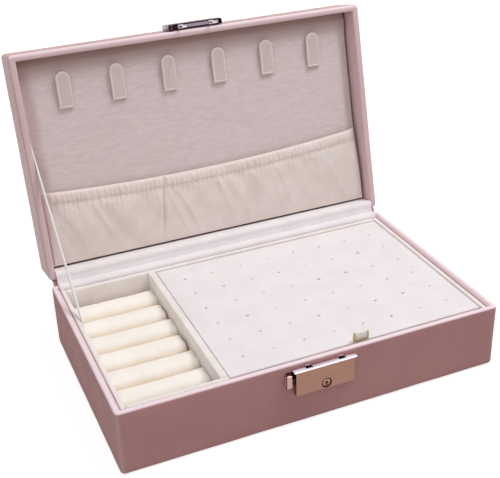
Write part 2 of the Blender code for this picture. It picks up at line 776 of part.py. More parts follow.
def slide_bar():
    """Stamped bar behind the cover, with catches for the hooks and lugs for cam and spring."""
    lug_left = LOCK_LUG_RIGHT - LUG_WIDTH
    lug_bottom = KEY_Z - CAM_WIDTH / 2
    spring_right = SPRING_LUG_LEFT + LUG_WIDTH
    spring_bottom = SPRING_Z - SPRING_OUTER
    outline = [
        (BAR_LEFT, BAR_BOTTOM),
        (lug_left, BAR_BOTTOM),
        (lug_left, lug_bottom),
        (LOCK_LUG_RIGHT, lug_bottom),
        (LOCK_LUG_RIGHT, BAR_BOTTOM),
        (SPRING_LUG_LEFT, BAR_BOTTOM),
        (SPRING_LUG_LEFT, spring_bottom),
        (spring_right, spring_bottom),
        (spring_right, BAR_BOTTOM),
    ]
    posts = []
    for x in SLOT_CENTRES:
        shank_left = x - SLOT_WIDTH / 2 + HOOK_GAP
        nose_tip = x + SLOT_WIDTH / 2 - HOOK_GAP
        post = nose_tip + POST_GAP
        posts.append((shank_left + HOOK_SHANK + HOOK_GAP, post, post + POST_WIDTH))
    outline.append((posts[-1][2], BAR_BOTTOM))
    for tip, post, post_right in reversed(posts):
        outline.append((post_right, BAR_TOP))
        outline.append((post_right, CATCH_TOP))
        outline.append((tip, CATCH_TOP))
        outline.append((tip, CATCH_BOTTOM))
        outline.append((post, CATCH_BOTTOM))
        outline.append((post, BAR_TOP))
    outline.remove((posts[-1][2], BAR_TOP))
    outline.append((BAR_LEFT, BAR_TOP))
    mesh = bmesh.new()
    faces = (LOCK_CORE - SLIDE_THICK / 2, LOCK_CORE + SLIDE_THICK / 2)
    skin(mesh, [along_y(outline, y) for y in faces])
    node("slide_bar", mesh, "bright_steel")


def lock_spring():
    """Coil spring between the bar's lug and the cover's right end."""
    start = SPRING_LUG_LEFT + LUG_WIDTH + SEAT + SPRING_WIRE_RADIUS
    end = LOCK_RIGHT - SHEET - SEAT - SPRING_WIRE_RADIUS
    curve = bpy.data.curves.new("lock_spring", "CURVE")
    curve.dimensions = "3D"
    curve.bevel_depth = SPRING_WIRE_RADIUS
    curve.bevel_resolution = 1
    curve.use_fill_caps = True
    count = SPRING_TURNS * COIL_STEPS
    coil = []
    for i in range(count + 1):
        angle = 2 * math.pi * i / COIL_STEPS
        x = start + (end - start) * i / count
        y = LOCK_CORE + SPRING_RADIUS * math.cos(angle)
        coil.append(Vector((x, y, SPRING_Z + SPRING_RADIUS * math.sin(angle))))
    print_least_gap("lock_spring", coil, COIL_STEPS // 2, SPRING_WIRE_RADIUS)
    spline = curve.splines.new("POLY")
    spline.points.add(count)
    for point, place in zip(spline.points, coil):
        point.co = (*place, 1)
    curve.materials.append(finish("bright_steel"))
    spring = bpy.data.objects.new("lock_spring", curve)
    bpy.context.scene.collection.objects.link(spring)


def key_cylinder():
    """Key cylinder: a slotted face in the keyhole and a barrel through the back plate."""
    front = LOCK_FACE + KEY_FACE_RECESS
    shoulder = front + KEY_FACE_THICK
    stations = [
        (front, KEY_FACE_RADIUS),
        (shoulder, KEY_FACE_RADIUS),
        (shoulder, BARREL_RADIUS),
        (shoulder + BARREL_LENGTH, BARREL_RADIUS),
    ]
    mesh = bmesh.new()
    turned_y(mesh, (KEY_X, KEY_Z), stations, ROUND_SIDES)
    pivot = (KEY_X, LOCK_CORE, KEY_Z)
    cylinder = node("key_cylinder", mesh, "bright_steel", pivot=pivot, smooth=SOFT_EDGE)
    slot = bmesh.new()
    low = (KEY_X - KEY_SLOT_WIDTH / 2, front - OVERRUN, KEY_Z - KEY_SLOT_HEIGHT / 2)
    high = (KEY_X + KEY_SLOT_WIDTH / 2, front + KEY_SLOT_DEPTH, KEY_Z + KEY_SLOT_HEIGHT / 2)
    block(slot, low, high)
    carve(cylinder, slot)


def lock_cam():
    """Cam on the barrel: it stands up when unlocked and blocks the bar's lug when turned."""
    half = CAM_WIDTH / 2
    start = math.asin(half / CAM_HUB_RADIUS)
    outline = [(KEY_X + half, KEY_Z + CAM_REACH)]
    for step in range(BORE_SIDES + 1):
        angle = start + (2 * math.pi - 2 * start) * step / BORE_SIDES
        x = KEY_X + CAM_HUB_RADIUS * math.sin(angle)
        outline.append((x, KEY_Z + CAM_HUB_RADIUS * math.cos(angle)))
    outline.append((KEY_X - half, KEY_Z + CAM_REACH))
    faces = (LOCK_CORE - CAM_THICK / 2, LOCK_CORE + CAM_THICK / 2)
    mesh = bmesh.new()
    skin(mesh, [along_y(outline, y) for y in faces])
    cam = node("lock_cam", mesh, "bright_steel", pivot=(KEY_X, LOCK_CORE, KEY_Z))
    bore = bmesh.new()
    ends = (faces[0] - OVERRUN, faces[1] + OVERRUN)
    turned_y(bore, (KEY_X, KEY_Z), [(y, KEY_BORE_RADIUS) for y in ends], ROUND_SIDES)
    carve(cam, bore)


def rivet_pair(name, z, stations, holder=None):
    """The left and the right rivet of one fitting, each a turned solid."""
    for i, x in enumerate(RIVET_XS):
        mesh = bmesh.new()
        turned_y(mesh, (x, z), stations, BORE_SIDES)
        node(f"{name}_{i + 1}", mesh, "bright_steel", holder, smooth=SOFT_EDGE)


def rivet_tail():
    """Stations of a rivet's end, clinched in the sink inside the wall."""
    return [
        (INNER_FRONT - SEAT - RIVET_INNER, RIVET_SHANK),
        (INNER_FRONT - SEAT - RIVET_INNER, RIVET_INNER_RADIUS),
        (INNER_FRONT - SEAT, RIVET_INNER_RADIUS),
    ]


def lock_rivets():
    """Rivets that hold the lock's back plate to the wall."""
    seat = PLATE_FACE - SEAT
    stations = [
        (seat - RIVET_HEAD, RIVET_HEAD_RADIUS),
        (seat, RIVET_HEAD_RADIUS),
        (seat, RIVET_SHANK),
    ] + rivet_tail()
    rivet_pair("lock_rivet", RIVET_Z, stations)


# Hinge and stay


def hinge_spine():
    """Leather strip over the seam behind: up the base, round the hinge line, along the lid."""
    face = BACK + SEAT + SPINE / 2
    path = [
        (face, BASE_RIM - SPINE_REACH),
        (face, BASE_RIM - RIM_RADIUS),
        opened(face, LID_RIM + RIM_RADIUS),
        opened(face, LID_RIM + SPINE_REACH),
    ]
    outline = strip_outline(path, SPINE)
    end = HALF_WIDTH - SPINE_END_INSET
    mesh = bmesh.new()
    skin(mesh, [along_x(outline, x) for x in (-end, end)])
    node("hinge_spine", mesh, "pink_leather", smooth=SOFT_EDGE)


def hinge_lining():
    """Velour strip inside the hinge: out of the groove, over both rims, behind the lid's panel."""
    stand = SEAT + LINING_CLOTH / 2
    groove = INNER_BACK - stand
    over_rim = BASE_RIM + stand
    under_rim = LID_RIM - stand
    path = [
        (groove, LINER_TOP - LINING_TUCK),
        (groove, BASE_RIM - RIM_RADIUS / 2),
        (groove + RIM_RADIUS / 2, over_rim),
        (BACK - RIM_RADIUS / 2, over_rim),
        opened(BACK - RIM_RADIUS, under_rim),
        opened(groove + RIM_RADIUS / 2, under_rim),
        opened(groove, LID_RIM + RIM_RADIUS / 2),
        opened(groove, PANEL_FACE + LINING_PANEL_TUCK),
    ]
    outline = strip_outline(path, LINING_CLOTH)
    end = INNER_SIDE - SEAT
    mesh = bmesh.new()
    skin(mesh, [along_x(outline, x) for x in (-end, end)])
    node("hinge_lining", mesh, "white_velour", smooth=SOFT_EDGE)


def ribbon_stay():
    """Satin ribbon from the left liner to the lid's left wall, taut when the lid is open."""
    base_y = BACK - WALL - STAY_BASE_FORWARD
    lid_point = Vector(opened(BACK - STAY_LID_BACK, LID_RIM + STAY_LID_UP))
    foot = Vector((base_y, LINER_TOP - STAY_TAIL))
    turn = Vector((base_y, LINER_TOP))
    rise = (lid_point - turn).normalized()
    end = lid_point + rise * STAY_LID_TUCK
    base_x = SEAT - LINER_SIDE_FACE
    lid_x = SEAT - INNER_SIDE
    half = STAY_WIDTH / 2
    across = Vector((-rise.y, rise.x))
    mitre = (across + Vector((-1, 0))).normalized()
    mitre = mitre / mitre.dot(across)
    stations = [
        (foot, Vector((-1, 0)), base_x),
        (turn, mitre, base_x),
        (end, across, lid_x),
    ]
    loops = []
    for point, side, x in stations:
        outer = point + side * half
        inner = point - side * half
        loops.append(
            [
                (x, outer.x, outer.y),
                (x, inner.x, inner.y),
                (x + STAY_THICK, inner.x, inner.y),
                (x + STAY_THICK, outer.x, outer.y),
            ]
        )
    mesh = bmesh.new()
    skin(mesh, loops)
    node("ribbon_stay", mesh, "satin_ribbon")


# Lid


def lid_shell(holder):
    """Walls and top board of the lid, wrapped in leather."""
    mesh = bmesh.new()
    open_box(mesh, LID_TOP, LID_CEILING, LID_RIM)
    shell = node("lid_shell", mesh, "pink_leather", holder, smooth=SOFT_EDGE)
    bores = bmesh.new()
    add_rivet_bores(bores, STRIKE_RIVET_Z)
    carve(shell, bores, holder)


def lid_foam(holder):
    """Foam block between the lid's top board and its lining panel."""
    edge = FOAM_MARGIN
    low = (edge - INNER_SIDE, INNER_FRONT + edge, PANEL_BACK + SEAT)
    high = (INNER_SIDE - edge, INNER_BACK - edge, LID_CEILING - SEAT)
    mesh = bmesh.new()
    block(mesh, low, high)
    node("lid_foam", mesh, "foam", holder)


def tab_centres():
    """The x of each necklace tab, from left to right."""
    first = TAB_LEFT_MARGIN - PANEL_SIDE
    last = PANEL_SIDE - TAB_RIGHT_MARGIN
    return [first + (last - first) * i / (TAB_COUNT - 1) for i in range(TAB_COUNT)]


def tab_root():
    """The y of the slits that the necklace tabs come out of."""
    return PANEL_FRONT_EDGE + TAB_TIP_GAP + TAB_LENGTH


def lid_lining_panel(holder):
    """Lining panel of the lid, with a slit at the root of each necklace tab."""
    mesh = bmesh.new()
    low = (-PANEL_SIDE, PANEL_FRONT_EDGE, PANEL_FACE)
    block(mesh, low, (PANEL_SIDE, PANEL_HINGE_EDGE, PANEL_BACK))
    panel = node("lid_lining_panel", mesh, "lid_lining", holder)
    slits = bmesh.new()
    half = TAB_WIDTH / 2 + SLIT_SPARE
    for x in tab_centres():
        low = (x - half, tab_root(), PANEL_FACE - OVERRUN)
        block(slits, low, (x + half, tab_root() + SLIT_WIDTH, PANEL_BACK + OVERRUN))
    carve(panel, slits, holder)


def necklace_tabs(holder):
    """Cloth tabs with round tips, each standing a little off the panel from its root."""
    root = tab_root()
    top = PANEL_FACE - SEAT
    radius = TAB_WIDTH / 2
    for i, x in enumerate(tab_centres()):
        outline = [(x + radius, root), (x - radius, root)]
        bend = root - TAB_LENGTH + radius
        for step in range(TIP_STEPS + 1):
            angle = math.pi * step / TIP_STEPS
            outline.append((x - radius * math.cos(angle), bend - radius * math.sin(angle)))
        mesh = bmesh.new()
        skin(mesh, [[(a, b, z) for a, b in outline] for z in (top - TAB_THICK, top)])
        pivot = Vector((x, root, top))
        tilt = Matrix.Rotation(TAB_TILT, 3, "X")
        bmesh.ops.rotate(mesh, verts=mesh.verts, cent=pivot, matrix=tilt)
        node(f"necklace_tab_{i + 1}", mesh, "white_velour", holder, pivot)


def pocket_hem(across_share):
    """The y of the pocket's hem, from -1 at the left end to 1 at the right."""
    height = POCKET_MIDDLE + POCKET_SAG * across_share**2 + POCKET_TILT * across_share
    return PANEL_HINGE_EDGE - POCKET_MARGIN - height


def pocket_stand(across_share, up_share):
    """How far the pocket's inner face stands off the panel, with its gathered folds."""
    width = PANEL_SIDE - POCKET_MARGIN
    pinned = 1 - abs(across_share) ** POCKET_PIN_POWER
    rise = POCKET_HEM_STAND * math.sin(up_share * math.pi / 2)
    belly = POCKET_BELLY * math.sin(up_share * math.pi)
    drift = POCKET_DRIFT_SHARE * math.sin(math.pi * (across_share + up_share))
    turns = across_share * width / POCKET_FOLD_PITCH + drift
    fold = POCKET_FOLD * math.sin(2 * math.pi * turns) * math.sin(up_share * math.pi / 2)
    return SEAT + pinned * (rise + belly + fold)


def elastic_pocket(holder):
    """Gathered cloth pocket on the panel, held at its sides and foot, hanging open at the hem."""
    width = PANEL_SIDE - POCKET_MARGIN
    foot = PANEL_HINGE_EDGE - POCKET_MARGIN
    mesh = bmesh.new()
    layers = []
    for cloth in (0, POCKET_CLOTH):
        rows = []
        for up_share in POCKET_ROW_SHARES:
            row = []
            for i in range(POCKET_COLUMNS + 1):
                across = 2 * i / POCKET_COLUMNS - 1
                y = foot + (pocket_hem(across) - foot) * up_share
                z = PANEL_FACE - pocket_stand(across, up_share) - cloth
                row.append(mesh.verts.new((across * width, y, z)))
            rows.append(row)
        layers.append(rows)
    for rows in layers:
        for low, high in zip(rows, rows[1:]):
            for i in range(POCKET_COLUMNS):
                mesh.faces.new((low[i], low[i + 1], high[i + 1], high[i]))
    inner, outer = [pocket_border(rows) for rows in layers]
    for i, first in enumerate(inner):
        j = (i + 1) % len(inner)
        mesh.faces.new((first, inner[j], outer[j], outer[i]))
    node("elastic_pocket", mesh, "pocket_cloth", holder, smooth=SOFT_EDGE)


def pocket_border(rows):
    """The outermost points of one layer of the pocket, in order round it."""
    left = [row[0] for row in rows]
    right = [row[-1] for row in rows]
    return rows[0][:-1] + right[:-1] + rows[-1][:0:-1] + left[:0:-1]


def pocket_elastic(holder):
    """Elastic band behind the pocket's hem, following its sag and its folds."""
    width = PANEL_SIDE - POCKET_MARGIN
    foot = PANEL_HINGE_EDGE - POCKET_MARGIN
    loops = []
    for i in range(ELASTIC_END_COLUMNS, POCKET_COLUMNS + 1 - ELASTIC_END_COLUMNS):
        across = 2 * i / POCKET_COLUMNS - 1
        hem = pocket_hem(across)
        edges = []
        for y in (hem + SEAT, hem + SEAT + ELASTIC_WIDTH):
            stand = pocket_stand(across, (foot - y) / (foot - hem))
            edges.append((across * width, y, PANEL_FACE - stand + SEAT))
        loops.append(edges + [(x, y, z + ELASTIC) for x, y, z in reversed(edges)])
    mesh = bmesh.new()
    skin(mesh, loops)
    node("pocket_elastic", mesh, "rubber_elastic", holder, smooth=SOFT_EDGE)


# Strike


def strike_cover(holder):
    """Sheet cover on the lid's front, open towards the lock below it."""
    low = (LOCK_LEFT, LOCK_FACE, LID_RIM)
    box = bent_sheet_box("strike_cover", low, (LOCK_RIGHT, LOCK_SEAT, STRIKE_TOP), holder)
    cuts = bmesh.new()
    low = (LOCK_LEFT + SHEET, LOCK_FACE + SHEET, LID_RIM - OVERRUN)
    block(cuts, low, (LOCK_RIGHT - SHEET, LOCK_SEAT + OVERRUN, STRIKE_TOP - SHEET))
    carve(box, cuts, holder)


def strike_hooks(holder):
    """Plate in the strike with two hooks that drop through the lock's slots."""
    edge = SHEET + SEAT
    bottom = LID_RIM + STRIKE_PLATE_RISE
    outline = [(LOCK_LEFT + edge, STRIKE_TOP - edge), (LOCK_LEFT + edge, bottom)]
    for x in SLOT_CENTRES:
        left = x - SLOT_WIDTH / 2 + HOOK_GAP
        nose = x + SLOT_WIDTH / 2 - HOOK_GAP
        shank = left + HOOK_SHANK
        outline += [
            (left, bottom),
            (left, HOOK_TIP),
            (shank, HOOK_TIP),
            (nose, HOOK_TIP + HOOK_BEVEL),
            (nose, NOSE_TOP),
            (shank, NOSE_TOP),
            (shank, bottom),
        ]
    outline += [(LOCK_RIGHT - edge, bottom), (LOCK_RIGHT - edge, STRIKE_TOP - edge)]
    faces = (LOCK_CORE - HOOK_THICK / 2, LOCK_CORE + HOOK_THICK / 2)
    mesh = bmesh.new()
    skin(mesh, [along_y(outline, y) for y in faces])
    hooks = node("strike_hooks", mesh, "bright_steel", holder)
    bores = bmesh.new()
    for x in RIVET_XS:
        ends = (faces[0] - OVERRUN, faces[1] + OVERRUN)
        turned_y(bores, (x, STRIKE_RIVET_Z), [(y, RIVET_BORE) for y in ends], BORE_SIDES)
    carve(hooks, bores, holder)


def strike_rivets(holder):
    """Shouldered rivets that hold the hooks' plate off the wall."""
    head = LOCK_CORE - HOOK_THICK / 2 - SEAT
    shoulder = LOCK_CORE + HOOK_THICK / 2 + SEAT
    stations = [
        (head - STRIKE_HEAD, RIVET_HEAD_RADIUS),
        (head, RIVET_HEAD_RADIUS),
        (head, RIVET_SHANK),
        (shoulder, RIVET_SHANK),
        (shoulder, RIVET_HEAD_RADIUS),
        (LOCK_SEAT, RIVET_HEAD_RADIUS),
        (LOCK_SEAT, RIVET_SHANK),
    ] + rivet_tail()
    rivet_pair("strike_rivet", STRIKE_RIVET_Z, stations, holder)


def build_base():
    """The base, its liners, rolls and well."""
    base_shell()
    base_bottom_cover()
    liner_sides()
    liner_back()
    liner_front()
    liner_floor()
    divider_wall()
    ring_foam()
    ring_rolls()
    tray_ledge()
    well_dividers()


def build_tray():
    """The earring tray and its pull loop."""
    tray_board()
    tray_pad()
    pull_loop()


def build_lock():
    """The lock on the base's front."""
    lock_back_plate()
    lock_cover()
    lock_button()
    slide_bar()
    lock_spring()
    key_cylinder()
    lock_cam()
    lock_rivets()


def build_lid():
    """The lid with its lining, tabs, pocket and strike."""
    holder = lid_holder()
    lid_shell(holder)
    lid_foam(holder)
    lid_lining_panel(holder)
    necklace_tabs(holder)
    elastic_pocket(holder)
    pocket_elastic(holder)
    strike_cover(holder)
    strike_hooks(holder)
    strike_rivets(holder)


def main():
    """Clear the scene and build the whole box."""
    for thing in list(bpy.data.objects):
        bpy.data.objects.remove(thing, do_unlink=True)
    build_base()
    build_tray()
    build_lock()
    hinge_spine()
    hinge_lining()
    ribbon_stay()
    build_lid()


main()
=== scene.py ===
"""Looks of a lockable travel jewelry box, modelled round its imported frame.

Every piece takes its size and place from the frame's solids. Lengths are in metres.
The lid's pieces are shaped where they lie when the box is shut, and then turned open.
"""

from __future__ import annotations

import json
import logging
import math
from contextlib import contextmanager
from dataclasses import dataclass
from enum import Enum
from random import Random
from typing import Callable, Iterator, Sequence

import bmesh
import bpy
import numpy as np
from mathutils import Matrix, Vector, noise


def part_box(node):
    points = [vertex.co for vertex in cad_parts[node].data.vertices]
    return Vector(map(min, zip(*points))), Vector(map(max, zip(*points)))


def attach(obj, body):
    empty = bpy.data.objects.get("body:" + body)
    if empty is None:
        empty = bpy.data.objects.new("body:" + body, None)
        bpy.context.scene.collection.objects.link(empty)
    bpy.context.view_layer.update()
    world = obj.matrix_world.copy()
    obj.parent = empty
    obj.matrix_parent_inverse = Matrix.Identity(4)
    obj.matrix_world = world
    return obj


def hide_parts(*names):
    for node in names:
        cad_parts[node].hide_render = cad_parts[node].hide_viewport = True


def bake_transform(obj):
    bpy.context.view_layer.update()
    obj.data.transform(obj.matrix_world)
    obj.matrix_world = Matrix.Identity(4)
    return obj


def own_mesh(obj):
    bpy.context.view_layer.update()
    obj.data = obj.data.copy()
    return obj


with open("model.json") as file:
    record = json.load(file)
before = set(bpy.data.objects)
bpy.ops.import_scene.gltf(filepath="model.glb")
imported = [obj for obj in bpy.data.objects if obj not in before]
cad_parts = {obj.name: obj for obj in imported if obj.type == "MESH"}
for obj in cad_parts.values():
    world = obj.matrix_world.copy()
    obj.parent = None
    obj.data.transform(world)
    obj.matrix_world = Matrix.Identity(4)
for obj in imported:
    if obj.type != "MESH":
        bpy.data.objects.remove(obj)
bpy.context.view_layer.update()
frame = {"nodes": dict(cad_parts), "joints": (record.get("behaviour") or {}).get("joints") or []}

Colour = tuple[float, float, float]
Place = tuple[float, float, float]
Pair = tuple[float, float]
Socket = bpy.types.NodeSocket
Value = float | Sequence[float] | Socket

LOG = logging.getLogger("jewelry_box")
MM = 0.001

# Gap between pieces that are glued together, as in the frame
SEAT = 0.3 * MM


class Body(str, Enum):
    """The bodies that pieces ride on."""

    BASE = "base"
    LID = "lid"
    TRAY = "tray"
    LOOP = "loop"
    SLIDER = "slider"
    KEY = "key"


class Slot(str, Enum):
    """The record's material slots."""

    LEATHER = "pink_leather"
    LEATHER_STRIP = "pink_leather_strip"
    VELOUR_BOARD = "velour_board"
    VELOUR = "white_velour"
    VELVET = "cream_velvet"
    FOAM = "foam"
    FIBREBOARD = "fibreboard"
    LINING = "lid_lining"
    POCKET = "pocket_cloth"
    RIBBON = "satin_ribbon"
    ELASTIC = "elastic"
    PLATED = "plated_steel"
    BRIGHT = "bright_steel"


class Look(str, Enum):
    """Finishes that some pieces wear instead of their slot's own."""

    LID_LEATHER = "lid_leather"
    # dark_steel is painted shade, for pieces that sit in the lock's and strike's gaps and recesses
    DARK = "dark_steel"
    LILAC = "lilac_steel"
    ROSY = "rosy_steel"
    SUEDE = "tab_suede"
    GILT = "gilt_ribbon"


# Materials


def linear(colour: Colour) -> tuple[float, float, float, float]:
    """Turn a colour as seen on a screen, from 0 to 255, into the shader's linear one.

    Args:
        colour: red, green and blue as the eye reads them.

    Returns:
        Linear red, green and blue with full alpha.
    """
    shares = [value / 255 for value in colour]
    curved = [s / 12.92 if s <= 0.04045 else ((s + 0.055) / 1.055) ** 2.4 for s in shares]
    return (*curved, 1.0)


class NodeTree:
    """A tree of shader nodes, put together node by node."""

    def __init__(self, tree: bpy.types.NodeTree) -> None:
        """Keep the tree that the nodes go into."""
        self.tree = tree

    def node(self, kind: str, inputs: dict[str | int, Value] | None = None,
             **settings: str) -> bpy.types.Node:
        """Add a node.

        Args:
            kind: the node's type.
            inputs: values or sockets for its inputs, by name or number.
            **settings: the node's own settings.

        Returns:
            The new node.
        """
        made = self.tree.nodes.new(kind)
        for key, value in settings.items():
            setattr(made, key, value)
        for key, value in (inputs or {}).items():
            self.feed(made.inputs[key], value)
        return made

    def feed(self, socket: Socket, value: Value) -> None:
        """Link a socket to an input, or set the input's value.

        Args:
            socket: the input.
            value: the socket or the value that it takes.
        """
        if isinstance(value, Socket):
            self.tree.links.new(value, socket)
        else:
            socket.default_value = value

    def reckon(self, operation: str, first: Value, second: Value) -> Socket:
        """One operation on two values or sockets."""
        return self.node("ShaderNodeMath", {0: first, 1: second}, operation=operation).outputs[0]

    def seen(self) -> Socket:
        """Tell the rays of the camera, of reflections and through glass from those that light things.

        Returns:
            1 for a ray that is seen, and 0 for the rest.
        """
        rays = self.node("ShaderNodeLightPath").outputs
        seen = self.reckon("MAXIMUM", rays["Is Camera Ray"], rays["Is Glossy Ray"])
        return self.reckon("MAXIMUM", seen, rays["Is Transmission Ray"])


class Recipe(NodeTree):
    """A material that is put together node by node."""

    def __init__(self, name: str, roughness: float, metallic: float = 0.0) -> None:
        """Start a material with its shader.

        Args:
            name: the material's name.
            roughness: the shader's even roughness.
            metallic: 1 for metal, 0 for the rest.
        """
        self.material = bpy.data.materials.new(name)
        self.material.use_nodes = True
        super().__init__(self.material.node_tree)
        self.shader = self.tree.nodes["Principled BSDF"]
        self.set(Roughness=roughness, Metallic=metallic)
        self.place = self.node("ShaderNodeTexCoord").outputs["Object"]

    def set(self, **values: Value) -> None:
        """Feed the shader's inputs, with underscores for the spaces in their names."""
        for name, value in values.items():
            self.feed(self.shader.inputs[name.replace("_", " ")], value)

    def scaled(self, factors: Sequence[float]) -> Socket:
        """The object's coordinates, stretched by a Mapping node."""
        return self.node("ShaderNodeMapping", {"Vector": self.place, "Scale": factors}).outputs["Vector"]

    def noise(self, size: float, detail: float = 2.0, place: Socket | None = None,
              roughness: float = 0.5) -> Socket:
        """Cloudy noise from 0 to 1 whose patches are about one size across."""
        values = {"Vector": place or self.place, "Scale": 1 / size, "Detail": detail, "Roughness": roughness}
        return self.node("ShaderNodeTexNoise", values).outputs["Fac"]

    def cells(self, size: float) -> Socket:
        """Distance to the nearest of scattered points about one size apart."""
        values = {"Vector": self.place, "Scale": 1 / size}
        return self.node("ShaderNodeTexVoronoi", values).outputs["Distance"]

    def waves(self, pitch: float, direction: str, distortion: float = 0.0) -> Socket:
        """Even sine bands at one pitch along an axis.

        Args:
            pitch: the distance from band to band.
            direction: the axis that they follow each other along.
            distortion: how far they waver.

        Returns:
            The bands' height, from 0 to 1.
        """
        values = {"Vector": self.place, "Distortion": distortion, "Scale": math.pi / (10 * pitch)}
        settings = {"wave_type": "BANDS", "bands_direction": direction}
        return self.node("ShaderNodeTexWave", values, **settings).outputs["Fac"]

    def spread(self, value: Value, low: float, high: float, to_low: float = 0, to_high: float = 1) -> Socket:
        """A value mapped smoothly from one range to another, and kept within it."""
        values = {"Value": value, "From Min": low, "From Max": high, "To Min": to_low, "To Max": to_high}
        return self.node("ShaderNodeMapRange", values, interpolation_type="SMOOTHSTEP").outputs["Result"]

    def blend(self, share: Value, first: Value, second: Value) -> Socket:
        """A colour between two, by a share."""
        values = {"Factor": share, 6: first, 7: second}
        return self.node("ShaderNodeMix", values, data_type="RGBA").outputs[2]

    def mark(self, name: str) -> Socket:
        """A value painted on the mesh's points."""
        return self.node("ShaderNodeAttribute", attribute_name=name).outputs["Fac"]

    def bump(self, height: Value, depth: float, below: Socket | None = None) -> Socket:
        """Raise the surface by a height from 0 to 1.

        Args:
            height: the height's socket.
            depth: the rise of a height of 1.
            below: the normal of a coarser bump under this one.

        Returns:
            The new normal's socket.
        """
        values = {"Height": height, "Distance": depth, "Strength": 1.0}
        if below is not None:
            values["Normal"] = below
        return self.node("ShaderNodeBump", values).outputs["Normal"]


@dataclass(frozen=True)
class Leather:
    """Artificial leather with a fine pebble grain, paler on its rims and edges, where stretch wear and a
    painted highlight are marked.
    """

    name: str
    colour: Colour = (194, 145, 143)
    # Pale colour of rims and edges: stretch wear with a painted highlight
    worn: Colour = (248, 228, 234)
    roughness: float = 0.5
    pebble: float = 0.9 * MM
    depth: float = 0.035 * MM
    gloss: float = 0.025

    def material(self) -> bpy.types.Material:
        """Make the leather's material.

        Returns:
            The new material.
        """
        recipe = Recipe(self.name, self.roughness)
        cloudy = recipe.noise(30 * MM, 3)
        fine = recipe.noise(2.5 * MM, 3)
        deep = [value * 0.965 for value in self.colour]
        shade = recipe.blend(recipe.spread(cloudy, 0.3, 0.7), linear(deep), linear(self.colour))
        pebbles = recipe.cells(self.pebble)
        # Paler where the rim mark is painted: stretch wear with a painted highlight on it
        tone = recipe.blend(recipe.mark("worn"), shade, linear(self.worn))
        recipe.set(Base_Color=tone, Specular_IOR_Level=self.gloss)
        recipe.set(Roughness=recipe.spread(fine, 0.3, 0.7, self.roughness - 0.05, self.roughness + 0.08))
        creased = recipe.bump(recipe.noise(9 * MM, 4), 0.05 * MM)
        recipe.set(Normal=recipe.bump(recipe.spread(pebbles, 0.0, 0.8), self.depth, creased))
        return recipe.material


@dataclass(frozen=True)
class Nap:
    """Short pile of velour or velvet, brushed here and there, and darker where a crease shade is painted on.
    """

    name: str
    colour: Colour
    brushed: Colour
    # Colour of the painted crease shade; black leaves it out
    pressed: Colour = (0, 0, 0)
    patch: float = 14 * MM
    depth: float = 0.06 * MM
    sheen: float = 0.25

    def material(self) -> bpy.types.Material:
        """Make the pile's material.

        Returns:
            The new material.
        """
        recipe = Recipe(self.name, 0.95)
        cloudy = recipe.noise(self.patch, 3)
        fine = recipe.noise(0.5 * MM, 2)
        tone = recipe.blend(recipe.spread(cloudy, 0.35, 0.65), linear(self.colour), linear(self.brushed))
        # Painted shade: blend towards the crease colour by the painted mark
        if any(self.pressed):
            tone = recipe.blend(recipe.mark("pressed"), tone, linear(self.pressed))
        recipe.set(Base_Color=tone, Sheen_Weight=self.sheen, Sheen_Roughness=0.4)
        soft = recipe.bump(cloudy, 0.05 * MM)
        recipe.set(Normal=recipe.bump(fine, self.depth, soft))
        return recipe.material


@dataclass(frozen=True)
class Crepe:
    """Soft lining cloth with fine creases that run from side to side, darker in their troughs as painted
    shade, and with a painted shadow at its top edge.
    """

    name: str
    colour: Colour = (221, 205, 204)
    shade: Colour = (212, 195, 194)
    # Colour of the painted shadow that the lid's front wall casts on the lining
    soiled: Colour = (180, 150, 142)
    crease: float = 0.09 * MM

    def material(self) -> bpy.types.Material:
        """Make the lining's material.

        Returns:
            The new material.
        """
        recipe = Recipe(self.name, 0.8)
        creases = recipe.noise(1.6 * MM, 4, recipe.scaled((0.22, 1, 1)), 0.55)
        cloudy = recipe.noise(20 * MM, 2)
        grain = recipe.noise(0.35 * MM, 2)
        # Painted shade: darker in the creases' troughs
        tone = recipe.blend(recipe.spread(creases, 0.3, 0.7), linear(self.shade), linear(self.colour))
        # Painted shadow near the top edge, by the painted mark
        tone = recipe.blend(recipe.mark("soiled"), tone, linear(self.soiled))
        recipe.set(Base_Color=tone, Sheen_Weight=0.1)
        low = recipe.bump(cloudy, 0.2 * MM)
        folded = recipe.bump(creases, self.crease, low)
        recipe.set(Normal=recipe.bump(grain, 0.03 * MM, folded))
        return recipe.material


@dataclass(frozen=True)
class Suede:
    """Dense suede of the necklace tabs, paler along its raised border, where a highlight is painted."""

    name: str
    colour: Colour = (217, 197, 193)
    # Colour of the painted highlight on the raised border
    border: Colour = (227, 208, 204)

    def material(self) -> bpy.types.Material:
        """Make the suede's material.

        Returns:
            The new material.
        """
        recipe = Recipe(self.name, 0.85)
        grain = recipe.noise(0.4 * MM, 3)
        cloudy = recipe.noise(4 * MM, 2)
        deep = [value * 0.97 for value in self.colour]
        tone = recipe.blend(cloudy, linear(deep), linear(self.colour))
        # Painted highlight along the raised border
        tone = recipe.blend(recipe.mark("border"), tone, linear(self.border))
        recipe.set(Base_Color=tone, Sheen_Weight=0.2, Normal=recipe.bump(grain, 0.05 * MM))
        return recipe.material


